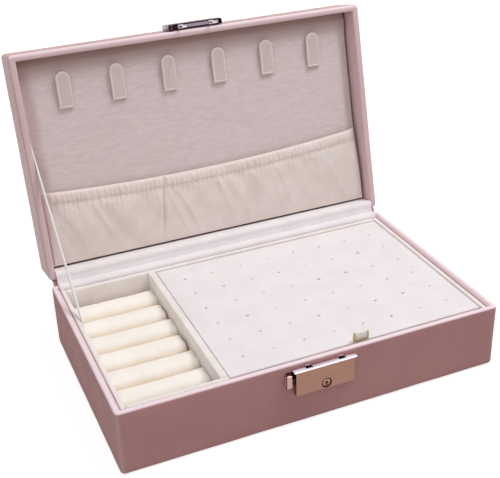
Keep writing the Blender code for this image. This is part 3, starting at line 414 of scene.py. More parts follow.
@dataclass(frozen=True)
class Weave:
    """Thin plain-woven cloth, paler where a highlight is painted along its hem."""

    name: str
    colour: Colour
    shade: Colour
    pitch: float = 0.45 * MM
    crease: float = 0.0

    def material(self) -> bpy.types.Material:
        """Make the cloth's material.

        Returns:
            The new material.
        """
        recipe = Recipe(self.name, 0.8)
        warp = recipe.waves(self.pitch, "X")
        weft = recipe.waves(self.pitch, "Z")
        threads = recipe.reckon("MAXIMUM", warp, weft)
        cloudy = recipe.noise(12 * MM, 3)
        tone = recipe.blend(recipe.spread(cloudy, 0.3, 0.7), linear(self.shade), linear(self.colour))
        # Colour of the painted highlight along the hem
        pale = [min(255, value * 1.05) for value in self.colour]
        recipe.set(Base_Color=recipe.blend(recipe.mark("rolled"), tone, linear(pale)), Sheen_Weight=0.15)
        low = recipe.bump(cloudy, 0.08 * MM)
        if self.crease:
            creases = recipe.noise(1.6 * MM, 4, recipe.scaled((0.3, 1, 1)), 0.55)
            low = recipe.bump(creases, self.crease, low)
        recipe.set(Normal=recipe.bump(threads, 0.03 * MM, low))
        return recipe.material


@dataclass(frozen=True)
class Satin:
    """Shiny ribbon with fine threads along it, and woven edges that may have their own colour."""

    name: str
    colour: Colour = (255, 248, 248)
    shade: Colour = (250, 238, 238)
    selvedge: Colour = (255, 248, 248)

    def material(self) -> bpy.types.Material:
        """Make the ribbon's material.

        Returns:
            The new material.
        """
        recipe = Recipe(self.name, 0.38)
        threads = recipe.waves(0.35 * MM, "Z", 0.5)
        cloudy = recipe.noise(6 * MM, 2)
        tone = recipe.blend(cloudy, linear(self.shade), linear(self.colour))
        tone = recipe.blend(recipe.mark("selvedge"), tone, linear(self.selvedge))
        recipe.set(Base_Color=tone, Sheen_Weight=0.8, Sheen_Roughness=0.5)
        recipe.set(Subsurface_Weight=0.6, Subsurface_Radius=(1, 1, 1), Subsurface_Scale=0.8 * MM)
        recipe.set(Normal=recipe.bump(threads, 0.02 * MM))
        return recipe.material


@dataclass(frozen=True)
class Plating:
    """Polished plated sheet steel with fine scratches and handling marks."""

    name: str
    colour: Colour
    roughness: float = 0.16

    def material(self) -> bpy.types.Material:
        """Make the plating's material.

        Returns:
            The new material.
        """
        recipe = Recipe(self.name, self.roughness, 1.0)
        drawn = recipe.noise(0.25 * MM, 3, recipe.scaled((0.05, 1, 1)))
        smears = recipe.noise(5 * MM, 3)
        dull = [value * 0.9 for value in self.colour]
        recipe.set(Base_Color=recipe.blend(smears, linear(dull), linear(self.colour)))
        scratches = recipe.spread(drawn, 0.3, 0.7, 0, 0.05)
        marks = recipe.reckon("ADD", scratches, recipe.spread(smears, 0.3, 0.7, 0, 0.08))
        recipe.set(Roughness=recipe.reckon("ADD", marks, self.roughness))
        recipe.set(Normal=recipe.bump(drawn, 0.004 * MM))
        return recipe.material


@dataclass(frozen=True)
class Board:
    """Stiff grey-brown board with fibres in it."""

    name: str
    colour: Colour = (176, 152, 126)
    shade: Colour = (142, 118, 94)

    def material(self) -> bpy.types.Material:
        """Make the board's material.

        Returns:
            The new material.
        """
        recipe = Recipe(self.name, 0.85)
        fibres = recipe.noise(1.2 * MM, 6, recipe.scaled((0.3, 1, 1)), 0.7)
        tone = recipe.blend(recipe.spread(fibres, 0.35, 0.65), linear(self.shade), linear(self.colour))
        recipe.set(Base_Color=tone, Normal=recipe.bump(fibres, 0.1 * MM))
        return recipe.material


@dataclass(frozen=True)
class Sponge:
    """Open soft foam."""

    name: str
    colour: Colour = (232, 224, 204)
    shade: Colour = (206, 194, 168)
    pore: float = 0.9 * MM

    def material(self) -> bpy.types.Material:
        """Make the foam's material.

        Returns:
            The new material.
        """
        recipe = Recipe(self.name, 0.95)
        pores = recipe.cells(self.pore)
        tone = recipe.blend(recipe.spread(pores, 0.1, 0.5), linear(self.shade), linear(self.colour))
        recipe.set(Base_Color=tone, Normal=recipe.bump(pores, 0.25 * MM))
        return recipe.material


def make_finishes() -> dict[Slot | Look, bpy.types.Material]:
    """Make every finish of the box, once each.

    Returns:
        The material of each slot and look.
    """
    finishes = {
        Slot.LEATHER: Leather("pink_leather"),
        Slot.LEATHER_STRIP: Leather("pink_leather_strip"),
        Slot.VELOUR_BOARD: Nap("velour_board", (247, 239, 236), (241, 232, 228)),
        Slot.VELOUR: Nap("white_velour", (243, 236, 238), (239, 232, 234)),
        # The velvet's third colour is the painted crease shade of the ring rolls
        Slot.VELVET: Nap("cream_velvet", (255, 250, 242), (252, 245, 236), (230, 211, 190), sheen=0.3),
        Slot.FOAM: Sponge("foam"),
        Slot.FIBREBOARD: Board("fibreboard"),
        Slot.LINING: Crepe("lid_lining"),
        Slot.POCKET: Weave("pocket_cloth", (234, 220, 214), (227, 211, 204), crease=0.07 * MM),
        Slot.RIBBON: Satin("satin_ribbon"),
        Slot.ELASTIC: Weave("elastic", (236, 230, 224), (214, 206, 200), 0.8 * MM),
        # Rose-tinted plating, darkened to paint in the dark reflection that the lock's front shows
        Slot.PLATED: Plating("plated_steel", (154, 115, 101)),
        # Steel of the rivets, hooks and spring; on the lock's top flange and slot guides a lit copy of the
        # plating, painted highlight
        Slot.BRIGHT: Plating("bright_steel", (240, 228, 238), 0.12),
        Look.LID_LEATHER: Leather("lid_leather", roughness=0.4, gloss=0.5),
        # Painted shade for lock and strike pieces in gaps and recesses
        Look.DARK: Plating("dark_steel", (62, 46, 48), 0.3),
        # Paler grey copy of the plating: painted light on the strike cover's left end and inner faces
        Look.LILAC: Plating("lilac_steel", (164, 148, 162), 0.14),
        # Lighter rosy plating; on the key's crescent it is a painted highlight
        Look.ROSY: Plating("rosy_steel", (188, 152, 146), 0.18),
        Look.SUEDE: Suede("tab_suede"),
        Look.GILT: Satin("gilt_ribbon", (250, 246, 236), (240, 234, 220), (196, 182, 96)),
    }
    return {key: finish.material() for key, finish in finishes.items()}


FINISHES = make_finishes()


# Bench


def joint(name: str) -> dict:
    """One of the frame's joints."""
    return next(row for row in frame["joints"] if row["name"] == name)


def hinge_turn() -> Matrix:
    """The turn that opens the lid from shut to where it stands at rest.

    Returns:
        The turn as a matrix.
    """
    hinge = joint("lid_hinge")
    place = Vector(hinge["pos_m"])
    turn = Matrix.Rotation(math.radians(hinge["range_deg"][0]), 4, "X")
    return Matrix.Translation(place) @ turn @ Matrix.Translation(-place)


OPENING = hinge_turn()
CLOSING = OPENING.inverted()


def shut_box(node: str) -> tuple[Vector, Vector]:
    """Lowest and highest corner of one of the lid's nodes when the box is shut."""
    points = np.array([CLOSING @ vertex.co for vertex in frame["nodes"][node].data.vertices])
    return Vector(points.min(0)), Vector(points.max(0))


def clear_selection() -> None:
    """Deselect every object."""
    bpy.ops.object.select_all(action="DESELECT")


def join(things: Sequence[bpy.types.Object]) -> None:
    """Join several meshes into the first of them.

    Args:
        things: the meshes.
    """
    clear_selection()
    for thing in things:
        thing.select_set(True)
    bpy.context.view_layer.objects.active = things[0]
    bpy.ops.object.join()


def eased(values: np.ndarray, low: float, high: float) -> np.ndarray:
    """A smooth step from 0 at one value to 1 at another."""
    share = np.clip((values - low) / (high - low), 0, 1)
    return share * share * (3 - 2 * share)


def smooth_step(value: float, low: float, high: float) -> float:
    """A smooth step from 0 at one value to 1 at another."""
    share = min(1.0, max(0.0, (value - low) / (high - low)))
    return share * share * (3 - 2 * share)


def rough(place: Sequence[float]) -> float:
    """Smooth noise between about -1 and 1 at a place."""
    return noise.noise(Vector(place))


class Workpiece:
    """One mesh on the bench, shaped with edit-mode operators and modifiers."""

    def __init__(self, name: str) -> None:
        """Take the primitive that was just added.

        Args:
            name: the piece's name.
        """
        self.thing = bpy.context.active_object
        self.thing.name = name
        self.thing.data.name = name
        self.settle()

    def settle(self) -> None:
        """Put the object's place into its mesh."""
        bpy.context.view_layer.update()
        self.thing.data.transform(self.thing.matrix_world)
        self.thing.matrix_world = Matrix.Identity(4)

    @classmethod
    def block(cls, name: str, low: Sequence[float], high: Sequence[float]) -> Workpiece:
        """Start from a cube stretched between two corners.

        Args:
            name: the piece's name.
            low: its lowest corner.
            high: its highest corner.

        Returns:
            The piece.
        """
        clear_selection()
        low, high = Vector(low), Vector(high)
        bpy.ops.mesh.primitive_cube_add(size=1, location=(low + high) / 2, scale=high - low)
        return cls(name)

    @classmethod
    def rod(cls, name: str, centre: Sequence[float], axis: str, radius: float, length: float,
            sides: int = 32) -> Workpiece:
        """Start from a cylinder along one axis.

        Args:
            name: the piece's name.
            centre: its middle.
            axis: X, Y or Z.
            radius: its radius.
            length: its length.
            sides: how many flat sides it has.

        Returns:
            The piece.
        """
        clear_selection()
        turns = {"X": (0, math.pi / 2, 0), "Y": (math.pi / 2, 0, 0), "Z": (0, 0, 0)}
        bpy.ops.mesh.primitive_cylinder_add(
            vertices=sides, radius=radius, depth=length, location=centre, rotation=turns[axis])
        return cls(name)

    @classmethod
    def grid(cls, name: str, columns: int, rows: int) -> Workpiece:
        """Start from a flat grid from 0 to 1 along X and Y.

        Args:
            name: the piece's name.
            columns: faces along X.
            rows: faces along Y.

        Returns:
            The piece.
        """
        clear_selection()
        bpy.ops.mesh.primitive_grid_add(
            x_subdivisions=columns, y_subdivisions=rows, size=1, location=(0.5, 0.5, 0))
        return cls(name)

    def copy(self, name: str) -> Workpiece:
        """A copy with its own mesh.

        Args:
            name: the copy's name.

        Returns:
            The copy.
        """
        other = self.thing.copy()
        other.data = self.thing.data.copy()
        bpy.context.scene.collection.objects.link(other)
        clear_selection()
        bpy.context.view_layer.objects.active = other
        return Workpiece(name)

    def activate(self) -> None:
        """Make the piece the one that operators work on."""
        clear_selection()
        self.thing.select_set(True)
        bpy.context.view_layer.objects.active = self.thing

    @contextmanager
    def shaping(self) -> Iterator[None]:
        """Edit mode, with nothing selected at its start.

        Yields:
            Nothing, while the mesh is open.
        """
        self.activate()
        bpy.ops.object.mode_set(mode="EDIT")
        bpy.ops.mesh.select_all(action="DESELECT")
        yield
        bpy.ops.object.mode_set(mode="OBJECT")

    def pick_faces(self, test: Callable[[Vector, Vector], bool]) -> None:
        """Select the faces whose centre and normal pass a test.

        Args:
            test: takes a centre and a normal.
        """
        bpy.ops.mesh.select_mode(type="FACE")
        bpy.ops.mesh.select_all(action="DESELECT")
        mesh = bmesh.from_edit_mesh(self.thing.data)
        for face in mesh.faces:
            face.select_set(test(face.calc_center_median(), face.normal))
        bmesh.update_edit_mesh(self.thing.data)

    def pick_edges(self, test: Callable[[Vector, Vector], bool]) -> None:
        """Select the edges whose two ends pass a test.

        Args:
            test: takes two ends.
        """
        bpy.ops.mesh.select_mode(type="EDGE")
        bpy.ops.mesh.select_all(action="DESELECT")
        mesh = bmesh.from_edit_mesh(self.thing.data)
        for edge in mesh.edges:
            if test(edge.verts[0].co, edge.verts[1].co):
                edge.select_set(True)
        bmesh.update_edit_mesh(self.thing.data)

    def extrude(self, shift: Sequence[float]) -> None:
        """Extrude what is selected."""
        bpy.ops.mesh.extrude_region_move(TRANSFORM_OT_translate={"value": shift})

    def bevel(self, width: float, segments: int) -> None:
        """Round the selected edges."""
        bpy.ops.mesh.bevel(offset=width, segments=segments, affect="EDGES")

    def inset(self, thickness: float, depth: float = 0) -> None:
        """Inset the selected faces, and raise them by a depth."""
        bpy.ops.mesh.inset(thickness=thickness, depth=depth)

    def bisect(self, place: Sequence[float], normal: Sequence[float], **settings: bool) -> None:
        """Cut the whole mesh across a plane."""
        bpy.ops.mesh.select_all(action="SELECT")
        bpy.ops.mesh.bisect(plane_co=place, plane_no=normal, **settings)

    def slice(self, axis: int, pitch: float) -> None:
        """Cut the whole mesh into even slices across one axis.

        Args:
            axis: 0, 1 or 2 for X, Y or Z.
            pitch: about how thick a slice is.
        """
        mesh = bmesh.from_edit_mesh(self.thing.data)
        places = [vertex.co[axis] for vertex in mesh.verts]
        low, high = min(places), max(places)
        count = max(1, round((high - low) / pitch))
        normal = Vector([float(i == axis) for i in range(3)])
        for i in range(1, count):
            self.bisect(normal * (low + (high - low) * i / count), normal)

    def slice_up(self, pitch: float) -> None:
        """Cut the mesh into even slices across all three axes.

        Args:
            pitch: about how thick a slice is.
        """
        with self.shaping():
            for axis in range(3):
                self.slice(axis, pitch)

    def modify(self, kind: str, **settings: object) -> None:
        """Add a modifier and apply it.

        Args:
            kind: the modifier's type.
            **settings: its own settings.
        """
        self.activate()
        modifier = self.thing.modifiers.new(kind.lower(), kind)
        for key, value in settings.items():
            setattr(modifier, key, value)
        bpy.ops.object.modifier_apply(modifier=modifier.name)

    def round_edges(self, width: float, segments: int = 2, angle: float = 30.0) -> None:
        """Round every edge sharper than an angle."""
        self.modify("BEVEL", width=width, segments=segments, limit_method="ANGLE",
                    angle_limit=math.radians(angle))

    def cut(self, *cutters: Workpiece) -> None:
        """Cut other pieces out of this one, and throw them away.

        Args:
            *cutters: the other pieces.
        """
        for cutter in cutters:
            self.modify("BOOLEAN", object=cutter.thing, operation="DIFFERENCE", solver="EXACT")
            bpy.data.objects.remove(cutter.thing)

    def ruffle(self, size: float, depth: float) -> None:
        """Move the surface gently in and out, in cloudy patches of one size.

        Args:
            size: how wide a patch is.
            depth: how far it can move.
        """
        clouds = bpy.data.textures.new(self.thing.name, "CLOUDS")
        clouds.noise_scale = size
        self.modify("DISPLACE", texture=clouds, strength=depth, mid_level=0.5, texture_coords="LOCAL")

    def points(self) -> np.ndarray:
        """The places of all points, one row each.

        Returns:
            An array with columns x, y and z.
        """
        flat = np.zeros(len(self.thing.data.vertices) * 3)
        self.thing.data.vertices.foreach_get("co", flat)
        return flat.reshape(-1, 3)

    def move_points(self, places: np.ndarray) -> None:
        """Give every point a new place."""
        self.thing.data.vertices.foreach_set("co", places.ravel())
        self.thing.data.update()

    def paint(self, name: str, values: np.ndarray) -> None:
        """Keep a value for every point, which materials read."""
        layer = self.thing.data.attributes.new(name, "FLOAT", "POINT")
        layer.data.foreach_set("value", np.asarray(values, dtype=np.float32))

    def open_lid(self) -> None:
        """Turn the piece from its shut place to where it stands with the lid open."""
        self.thing.data.transform(OPENING)

    def wear(self, *looks: Slot | Look) -> None:
        """Give the piece one finish for each of its material slots."""
        for look in looks:
            self.thing.data.materials.append(FINISHES[look])

    def finish(self, body: Body | str, slot: Slot, nodes: Sequence[str] = (),
               look: Slot | Look | None = None, angle: float = 35.0, rides: bool = True) -> None:
        """Smooth, dress and mount the piece, and open the lid's.

        Args:
            body: the body that it rides on.
            slot: the record's material slot that it belongs to.
            nodes: the frame's nodes that it stands for.
            look: its finish, where that isn't its slot's own.
            angle: edges sharper than this, in degrees, stay crisp.
            rides: False for a piece that is left without a body.
        """
        if body is Body.LID:
            self.open_lid()
        self.activate()
        bpy.ops.object.shade_smooth_by_angle(angle=math.radians(angle))
        if not self.thing.data.materials:
            self.wear(look or slot)
        if rides:
            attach(self.thing, getattr(body, "value", body))
        if nodes:
            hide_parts(*nodes)
        LOG.info("%s: %d points", self.thing.name, len(self.thing.data.vertices))


# Stage


@dataclass(frozen=True)
class Stage:
    """Camera, lamps, surroundings and floor."""

    camera_place: Place = (-0.1958, -0.4474, 0.3426)
    camera_turn: Place = (61.673, 1.685, -23.431)
    focal_length: float = 69.2
    surroundings: float = 0.42
    key_place: Place = (0.45, -0.15, 1.10)
    key_size: float = 0.5
    key_power: float = 6.7
    fill_place: Place = (-0.55, -0.70, 0.95)
    fill_size: float = 0.9
    fill_power: float = 2.4
    aim: Place = (0.0, 0.0, 0.04)
    floor_size: float = 6.0
    floor_tone: float = 0.5
    floor_glow: float = 0.78

    def set_camera(self) -> None:
        """Place the camera at the photograph's angle."""
        lens = bpy.data.cameras.new("camera")
        lens.lens = self.focal_length
        lens.sensor_fit = "HORIZONTAL"
        camera = bpy.data.objects.new("camera", lens)
        camera.location = self.camera_place
        camera.rotation_euler = [math.radians(angle) for angle in self.camera_turn]
        bpy.context.scene.collection.objects.link(camera)
        bpy.context.scene.camera = camera

    def add_lamp(self, name: str, place: Sequence[float], size: float, power: float) -> None:
        """Hang a square soft lamp that faces the box.

        Args:
            name: the lamp's name.
            place: where it hangs.
            size: the length of a side.
            power: its power in watts.
        """
        light = bpy.data.lights.new(name, "AREA")
        light.size = size
        light.energy = power
        lamp = bpy.data.objects.new(name, light)
        lamp.location = place
        way = Vector(self.aim) - Vector(place)
        lamp.rotation_euler = way.to_track_quat("-Z", "Y").to_euler()
        bpy.context.scene.collection.objects.link(lamp)

    def set_surroundings(self) -> None:
        """Plain light all round, which the camera and reflections see as white."""
        world = bpy.data.worlds.new("surroundings")
        world.use_nodes = True
        bpy.context.scene.world = world
        nodes = NodeTree(world.node_tree)
        strength = nodes.node("ShaderNodeMapRange", {"Value": nodes.seen(), "To Min": self.surroundings})
        background = world.node_tree.nodes["Background"].inputs
        nodes.feed(background["Strength"], strength.outputs["Result"])
        nodes.feed(background["Color"], (1, 1, 1, 1))

    def lay_floor(self) -> None:
        """A plain pale floor that is white in view and keeps the box's shadow."""
        bpy.ops.mesh.primitive_plane_add(size=self.floor_size)
        floor = bpy.context.active_object
        floor.name = "floor"
        recipe = Recipe("floor", 0.9)
        recipe.set(Base_Color=(self.floor_tone,) * 3 + (1,), Emission_Color=(1, 1, 1, 1))
        recipe.set(Emission_Strength=recipe.reckon("MULTIPLY", recipe.seen(), self.floor_glow))
        floor.data.materials.append(recipe.material)

    def build(self) -> None:
        """Set up camera, lamps, surroundings and floor."""
        bpy.context.scene.view_settings.view_transform = "Standard"
        self.set_camera()
        self.set_surroundings()
        self.add_lamp("key_lamp", self.key_place, self.key_size, self.key_power)
        self.add_lamp("fill_lamp", self.fill_place, self.fill_size, self.fill_power)
        self.lay_floor()


# Case


@dataclass
class LeatherCase:
    """Walls and a board wrapped in leather, open at one end."""

    name: str
    node: str
    body: Body
    low: Vector
    high: Vector
    wall: float
    board: float
    opens_up: bool
    look: Look | None = None
    # Shares of the pale mark: wear with a painted highlight on the rim, painted light on the walls' inner
    # faces, painted highlight along the front edge
    rim_wear_and_highlight: float = 1.0
    inner_painted_light: float = 0.0
    front_edge_highlight: float = 0.0
    corner: float = 2.6 * MM
    rim: float = 1.3 * MM
    inner_rim: float = 0.9 * MM
    inner_steps: int = 4
    fold: float = 1.1 * MM
    pitch: float = 4.0 * MM
    patch: float = 18.0 * MM
    unevenness: float = 0.22 * MM
    # How far the rim's pale mark, wear with a painted highlight, reaches outside, inside and round the
    # corners
    pale_outside: float = 1.1 * MM
    pale_inside: float = 1.3 * MM
    pale_corner: float = 3.0 * MM
    tiny: float = 0.1 * MM

    @property
    def rim_height(self) -> float:
        """Height of the open end."""
        return self.high.z if self.opens_up else self.low.z

    def shape_walls(self, case: Workpiece) -> None:
        """Round the block's corners, hollow it out, and round its rim and folds.

        Args:
            case: the plain block.
        """
        way = 1 if self.opens_up else -1
        depth = self.high.z - self.low.z - self.board
        first = self.corner - self.tiny
        with case.shaping():
            case.pick_edges(lambda a, b: abs(a.z - b.z) > depth)
            case.bevel(self.corner, 5)
            case.pick_faces(lambda centre, normal: normal.z * way > 0.9)
            case.inset(first)
            self.square_corners(case, first)
            bpy.ops.mesh.remove_doubles(threshold=0.01 * MM)
            case.pick_faces(lambda centre, normal: normal.z * way > 0.9 and centre.xy.length < 20 * MM)
            case.inset(self.wall - first)
            case.extrude((0, 0, -way * depth))
            case.pick_edges(lambda a, b: self.on_rim(a, b) and self.at_outer(a) and self.at_outer(b))
            case.bevel(self.rim, 6)
            case.pick_edges(lambda a, b: self.on_rim(a, b) and self.at_inner(a) and self.at_inner(b))
            case.bevel(self.inner_rim, self.inner_steps)
            closed = self.low.z if self.opens_up else self.high.z
            case.pick_edges(lambda a, b: abs(a.z - closed) + abs(b.z - closed) < self.tiny)
            case.bevel(self.fold, 3)

    def square_corners(self, case: Workpiece, inset: float) -> None:
        """Bring the selected points to the four corners of the walls' outline, moved inwards.

        Args:
            case: the case in edit mode.
            inset: how far inwards.
        """
        mesh = bmesh.from_edit_mesh(case.thing.data)
        middle = (self.low + self.high) / 2
        for vertex in mesh.verts:
            if vertex.select:
                for axis in range(2):
                    beyond = vertex.co[axis] > middle[axis]
                    vertex.co[axis] = self.high[axis] - inset if beyond else self.low[axis] + inset
        bmesh.update_edit_mesh(case.thing.data)

    def on_rim(self, a: Vector, b: Vector) -> bool:
        """Whether an edge lies in the plane of the open end."""
        return abs(a.z - self.rim_height) < self.tiny and abs(b.z - self.rim_height) < self.tiny

    def at_inner(self, point: Vector) -> bool:
        """Whether a point lies on the walls' inner faces."""
        return abs(self.inset_of(point) - self.wall) < self.tiny

    def at_outer(self, point: Vector) -> bool:
        """Whether a point lies on the walls' outer faces or round corners.

        Args:
            point: the point.

        Returns:
            True if it does.
        """
        across = min(self.high.x - point.x, point.x - self.low.x)
        along = min(self.high.y - point.y, point.y - self.low.y)
        if across < self.corner and along < self.corner:
            return abs(self.corner - math.hypot(self.corner - across, self.corner - along)) < self.tiny / 2
        return min(across, along) < self.tiny / 2

    def inset_of(self, point: Vector) -> float:
        """How far inside the nearest outer face a point lies."""
        return min(self.high.x - point.x, point.x - self.low.x, self.high.y - point.y, point.y - self.low.y)

    def wear(self, case: Workpiece) -> None:
        """Mark where the leather is pale, as stretch wear with a painted highlight: the rim and the front
        edge most, the corners a little, and for the lid painted light on the walls' inner faces.

        Args:
            case: the shaped case.
        """
        points = case.points()
        from_rim = np.abs(points[:, 2] - self.rim_height)
        from_x = self.high.x - np.abs(points[:, 0])
        from_y = np.minimum(self.high.y - points[:, 1], points[:, 1] - self.low.y)
        inward = eased(np.minimum(from_x, from_y), 0.4 * self.wall, 0.8 * self.wall)
        reach = self.pale_outside + (self.pale_inside - self.pale_outside) * inward
        corner = 1 - eased(np.hypot(from_x, from_y), 0.5 * MM, self.pale_corner)
        rim = 1 - eased(from_rim / reach, 0.12, 1.0)
        # Painted light: the walls' inner faces paler below the rim
        inside = self.inner_painted_light * inward * (1 - rim)
        # Painted highlight along the front edge, which is the top edge when the lid stands open
        front = 1 - eased(points[:, 1] - self.low.y, 0.3 * self.wall, 0.6 * self.wall)
        share = self.rim_wear_and_highlight + (1 - self.rim_wear_and_highlight) * self.front_edge_highlight * front
        # Rim and corners: stretch wear with a painted highlight; inner faces: painted light
        case.paint("worn", np.clip(share * rim + 0.25 * corner + inside, 0, 1))

    def build(self) -> None:
        """Model and dress the case."""
        case = Workpiece.block(self.name, self.low, self.high)
        self.shape_walls(case)
        case.slice_up(self.pitch)
        case.ruffle(self.patch, self.unevenness)
        self.wear(case)
        case.finish(self.body, Slot.LEATHER, [self.node], look=self.look)


# Base


@dataclass
class CoveredBoards:
    """Boards covered with velour, round the inside of the base."""

    edge: float = 0.7 * MM
    pitch: float = 3.0 * MM
    patch: float = 7.0 * MM
    unevenness: float = 0.16 * MM
    lowered: float = 0.7 * MM

    def cover(self, board: Workpiece, node: str) -> None:
        """Round a board's edges, make its cloth slightly uneven and dress it.

        Args:
            board: the plain board.
            node: the node that it stands for.
        """
        board.round_edges(self.edge, 3)
        board.slice_up(self.pitch)
        board.ruffle(self.patch, self.unevenness)
        board.finish(Body.BASE, Slot.VELOUR_BOARD, [node])

    def front_board(self) -> Workpiece:
        """Front liner: full height at the ring rolls, low under the tray's front edge.

        Returns:
            The plain board.
        """
        low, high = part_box("liner_front")
        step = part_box("divider_wall")[1].x
        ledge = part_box("tray_ledge")[1].z
        board = Workpiece.block("front_liner_board", low, (high.x, high.y, ledge))
        with board.shaping():
            board.bisect((step, 0, 0), (1, 0, 0))
            board.pick_faces(lambda centre, normal: normal.z > 0.9 and centre.x < step)
            board.extrude((0, 0, high.z - ledge))
        return board

    def build(self) -> None:
        """Make every board of the base."""
        self.cover(self.front_board(), "liner_front")
        for node in ("liner_left", "liner_right", "liner_back", "divider_wall", "well_divider_1",
                     "well_divider_2", "tray_ledge", "liner_floor"):
            low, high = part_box(node)
            if node in ("liner_right", "liner_back"):
                high.z -= self.lowered
            self.cover(Workpiece.block(node + "_board", low, high), node)


@dataclass
class RingRolls:
    """Foam rolls covered with velvet that hold rings in the creases between them."""

    shoulder: float = 5.0 * MM
    end_round: float = 0.6 * MM
    longer: float = 1.35 * MM
    shorter: tuple[float, ...] = (0.0, 1.0 * MM, 0.0, 1.2 * MM, 0.0, 0.1 * MM)
    crease: float = 6.5 * MM
    voxel: float = 1.1 * MM
    slack: float = 0.45 * MM
    cap: float = 0.9 * MM
    held: float = 0.05
    pressure: float = 4.0
    bench_scale: float = 20.0
    last_frame: int = 20
    patch: float = 9.0 * MM
    unevenness: float = 0.5 * MM
    # Depths below a roll's top where the painted crease shade starts (crown) and is full (crease)
    crown: float = 0.6 * MM
    fill: float = 0.8
    bed_edge: float = 1.4 * MM
    bed_pitch: float = 2.5 * MM
    bed_patch: float = 8.0 * MM
    bed_unevenness: float = 0.3 * MM
    # Share of painted shade over the whole bed
    bed_painted_shade: float = 0.5
    bed_fill: float = 0.9

    def start(self, low: Vector, high: Vector) -> Workpiece:
        """A slightly small roll with round shoulders, ready to swell.

        Args:
            low: the roll's lowest corner.
            high: its highest corner.

        Returns:
            The roll.
        """
        slack = self.slack
        roll = Workpiece.block("ring_roll", low + Vector((0, slack, 0)), high - Vector((0, slack, slack)))
        top = high.z - slack
        with roll.shaping():
            roll.pick_edges(lambda a, b: min(a.z, b.z) > top - MM and abs(a.x - b.x) > MM)
            roll.bevel(self.shoulder, 8)
            roll.pick_edges(lambda a, b: abs(a.x - b.x) < 0.01 * MM and max(a.z, b.z) > low.z + MM)
            roll.bevel(self.end_round, 3)
        return roll

    def swell(self, roll: Workpiece) -> None:
        """Blow the velvet up over its foam, with its foot held.

        Args:
            roll: the small roll.
        """
        grow = Matrix.Scale(self.bench_scale, 4)
        roll.modify("REMESH", mode="VOXEL", voxel_size=self.voxel)
        roll.thing.data.transform(grow)
        before = roll.points()
        foot = roll.thing.vertex_groups.new(name="foot")
        lowest = before[:, 2].min()
        held = np.nonzero(before[:, 2] < lowest + self.held * (before[:, 2].max() - lowest))[0]
        foot.add([int(i) for i in held], 1.0, "REPLACE")
        self.simulate(roll)
        shift = roll.points() - before
        length = np.linalg.norm(shift, axis=1, keepdims=True)
        limit = self.cap * self.bench_scale
        roll.move_points(before + shift * np.minimum(1, limit / np.maximum(length, 1e-9)))
        roll.thing.vertex_groups.clear()
        roll.thing.data.transform(grow.inverted())

    def simulate(self, roll: Workpiece) -> None:
        """Run the cloth for a few frames and keep its result.

        Args:
            roll: the roll at the bench's scale.
        """
        roll.activate()
        modifier = roll.thing.modifiers.new("cloth", "CLOTH")
        cloth = modifier.settings
        cloth.use_pressure = True
        cloth.uniform_pressure_force = self.pressure
        cloth.vertex_group_mass = "foot"
        cloth.effector_weights.gravity = 0
        modifier.point_cache.frame_start = 1
        modifier.point_cache.frame_end = self.last_frame
        for step in range(1, self.last_frame + 1):
            bpy.context.scene.frame_set(step)
        bpy.ops.object.modifier_apply(modifier=modifier.name)
        bpy.context.scene.frame_set(1)

    def build(self) -> None:
        """Make one roll, and copy it to every place in the row."""
        names = sorted(node for node in frame["nodes"] if node.startswith("ring_roll_"))
        low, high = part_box(names[0])
        more = Vector((self.longer, 0, 0))
        model = self.start(low - more, high + more)
        self.swell(model)
        model.modify("SUBSURF", levels=1, render_levels=1)
        for name, shorter in zip(names, self.shorter):
            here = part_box(name)
            roll = model.copy(name + "_velvet")
            roll.thing.data.transform(Matrix.Translation(here[0] - low))
            roll.ruffle(self.patch, self.unevenness)
            places = np.clip(roll.points(), here[0] - more, here[1] + more)
            left, right = here[0].x - self.longer, here[1].x + self.longer
            places[:, 0] -= shorter * (places[:, 0] - left) / (right - left)
            roll.move_points(places)
            # Painted shade: darker the lower a point lies below the roll's top, darkest in the creases
            roll.paint("pressed", eased(here[1].z - places[:, 2], self.crown, self.crease))
            roll.finish(Body.BASE, Slot.VELVET, [name], angle=60)
        bpy.data.objects.remove(model.thing)
        self.bed()

    def bed(self) -> None:
        """The block under the rolls, in the same velvet with painted shade all over it, which shows before
        and behind them.
        """
        low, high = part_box("ring_foam")
        bed = Workpiece.block("ring_foam_bed", low, high)
        bed.round_edges(self.bed_edge, 3)
        bed.slice_up(self.bed_pitch)
        bed.ruffle(self.bed_patch, self.bed_unevenness)
        # Painted shade: the whole bed, sunk between the rolls and the walls, half-way to the crease colour
        bed.paint("pressed", np.full(len(bed.points()), self.bed_painted_shade))
        bed.finish(Body.BASE, Slot.FOAM, ["ring_foam"], look=Slot.VELVET, angle=60)


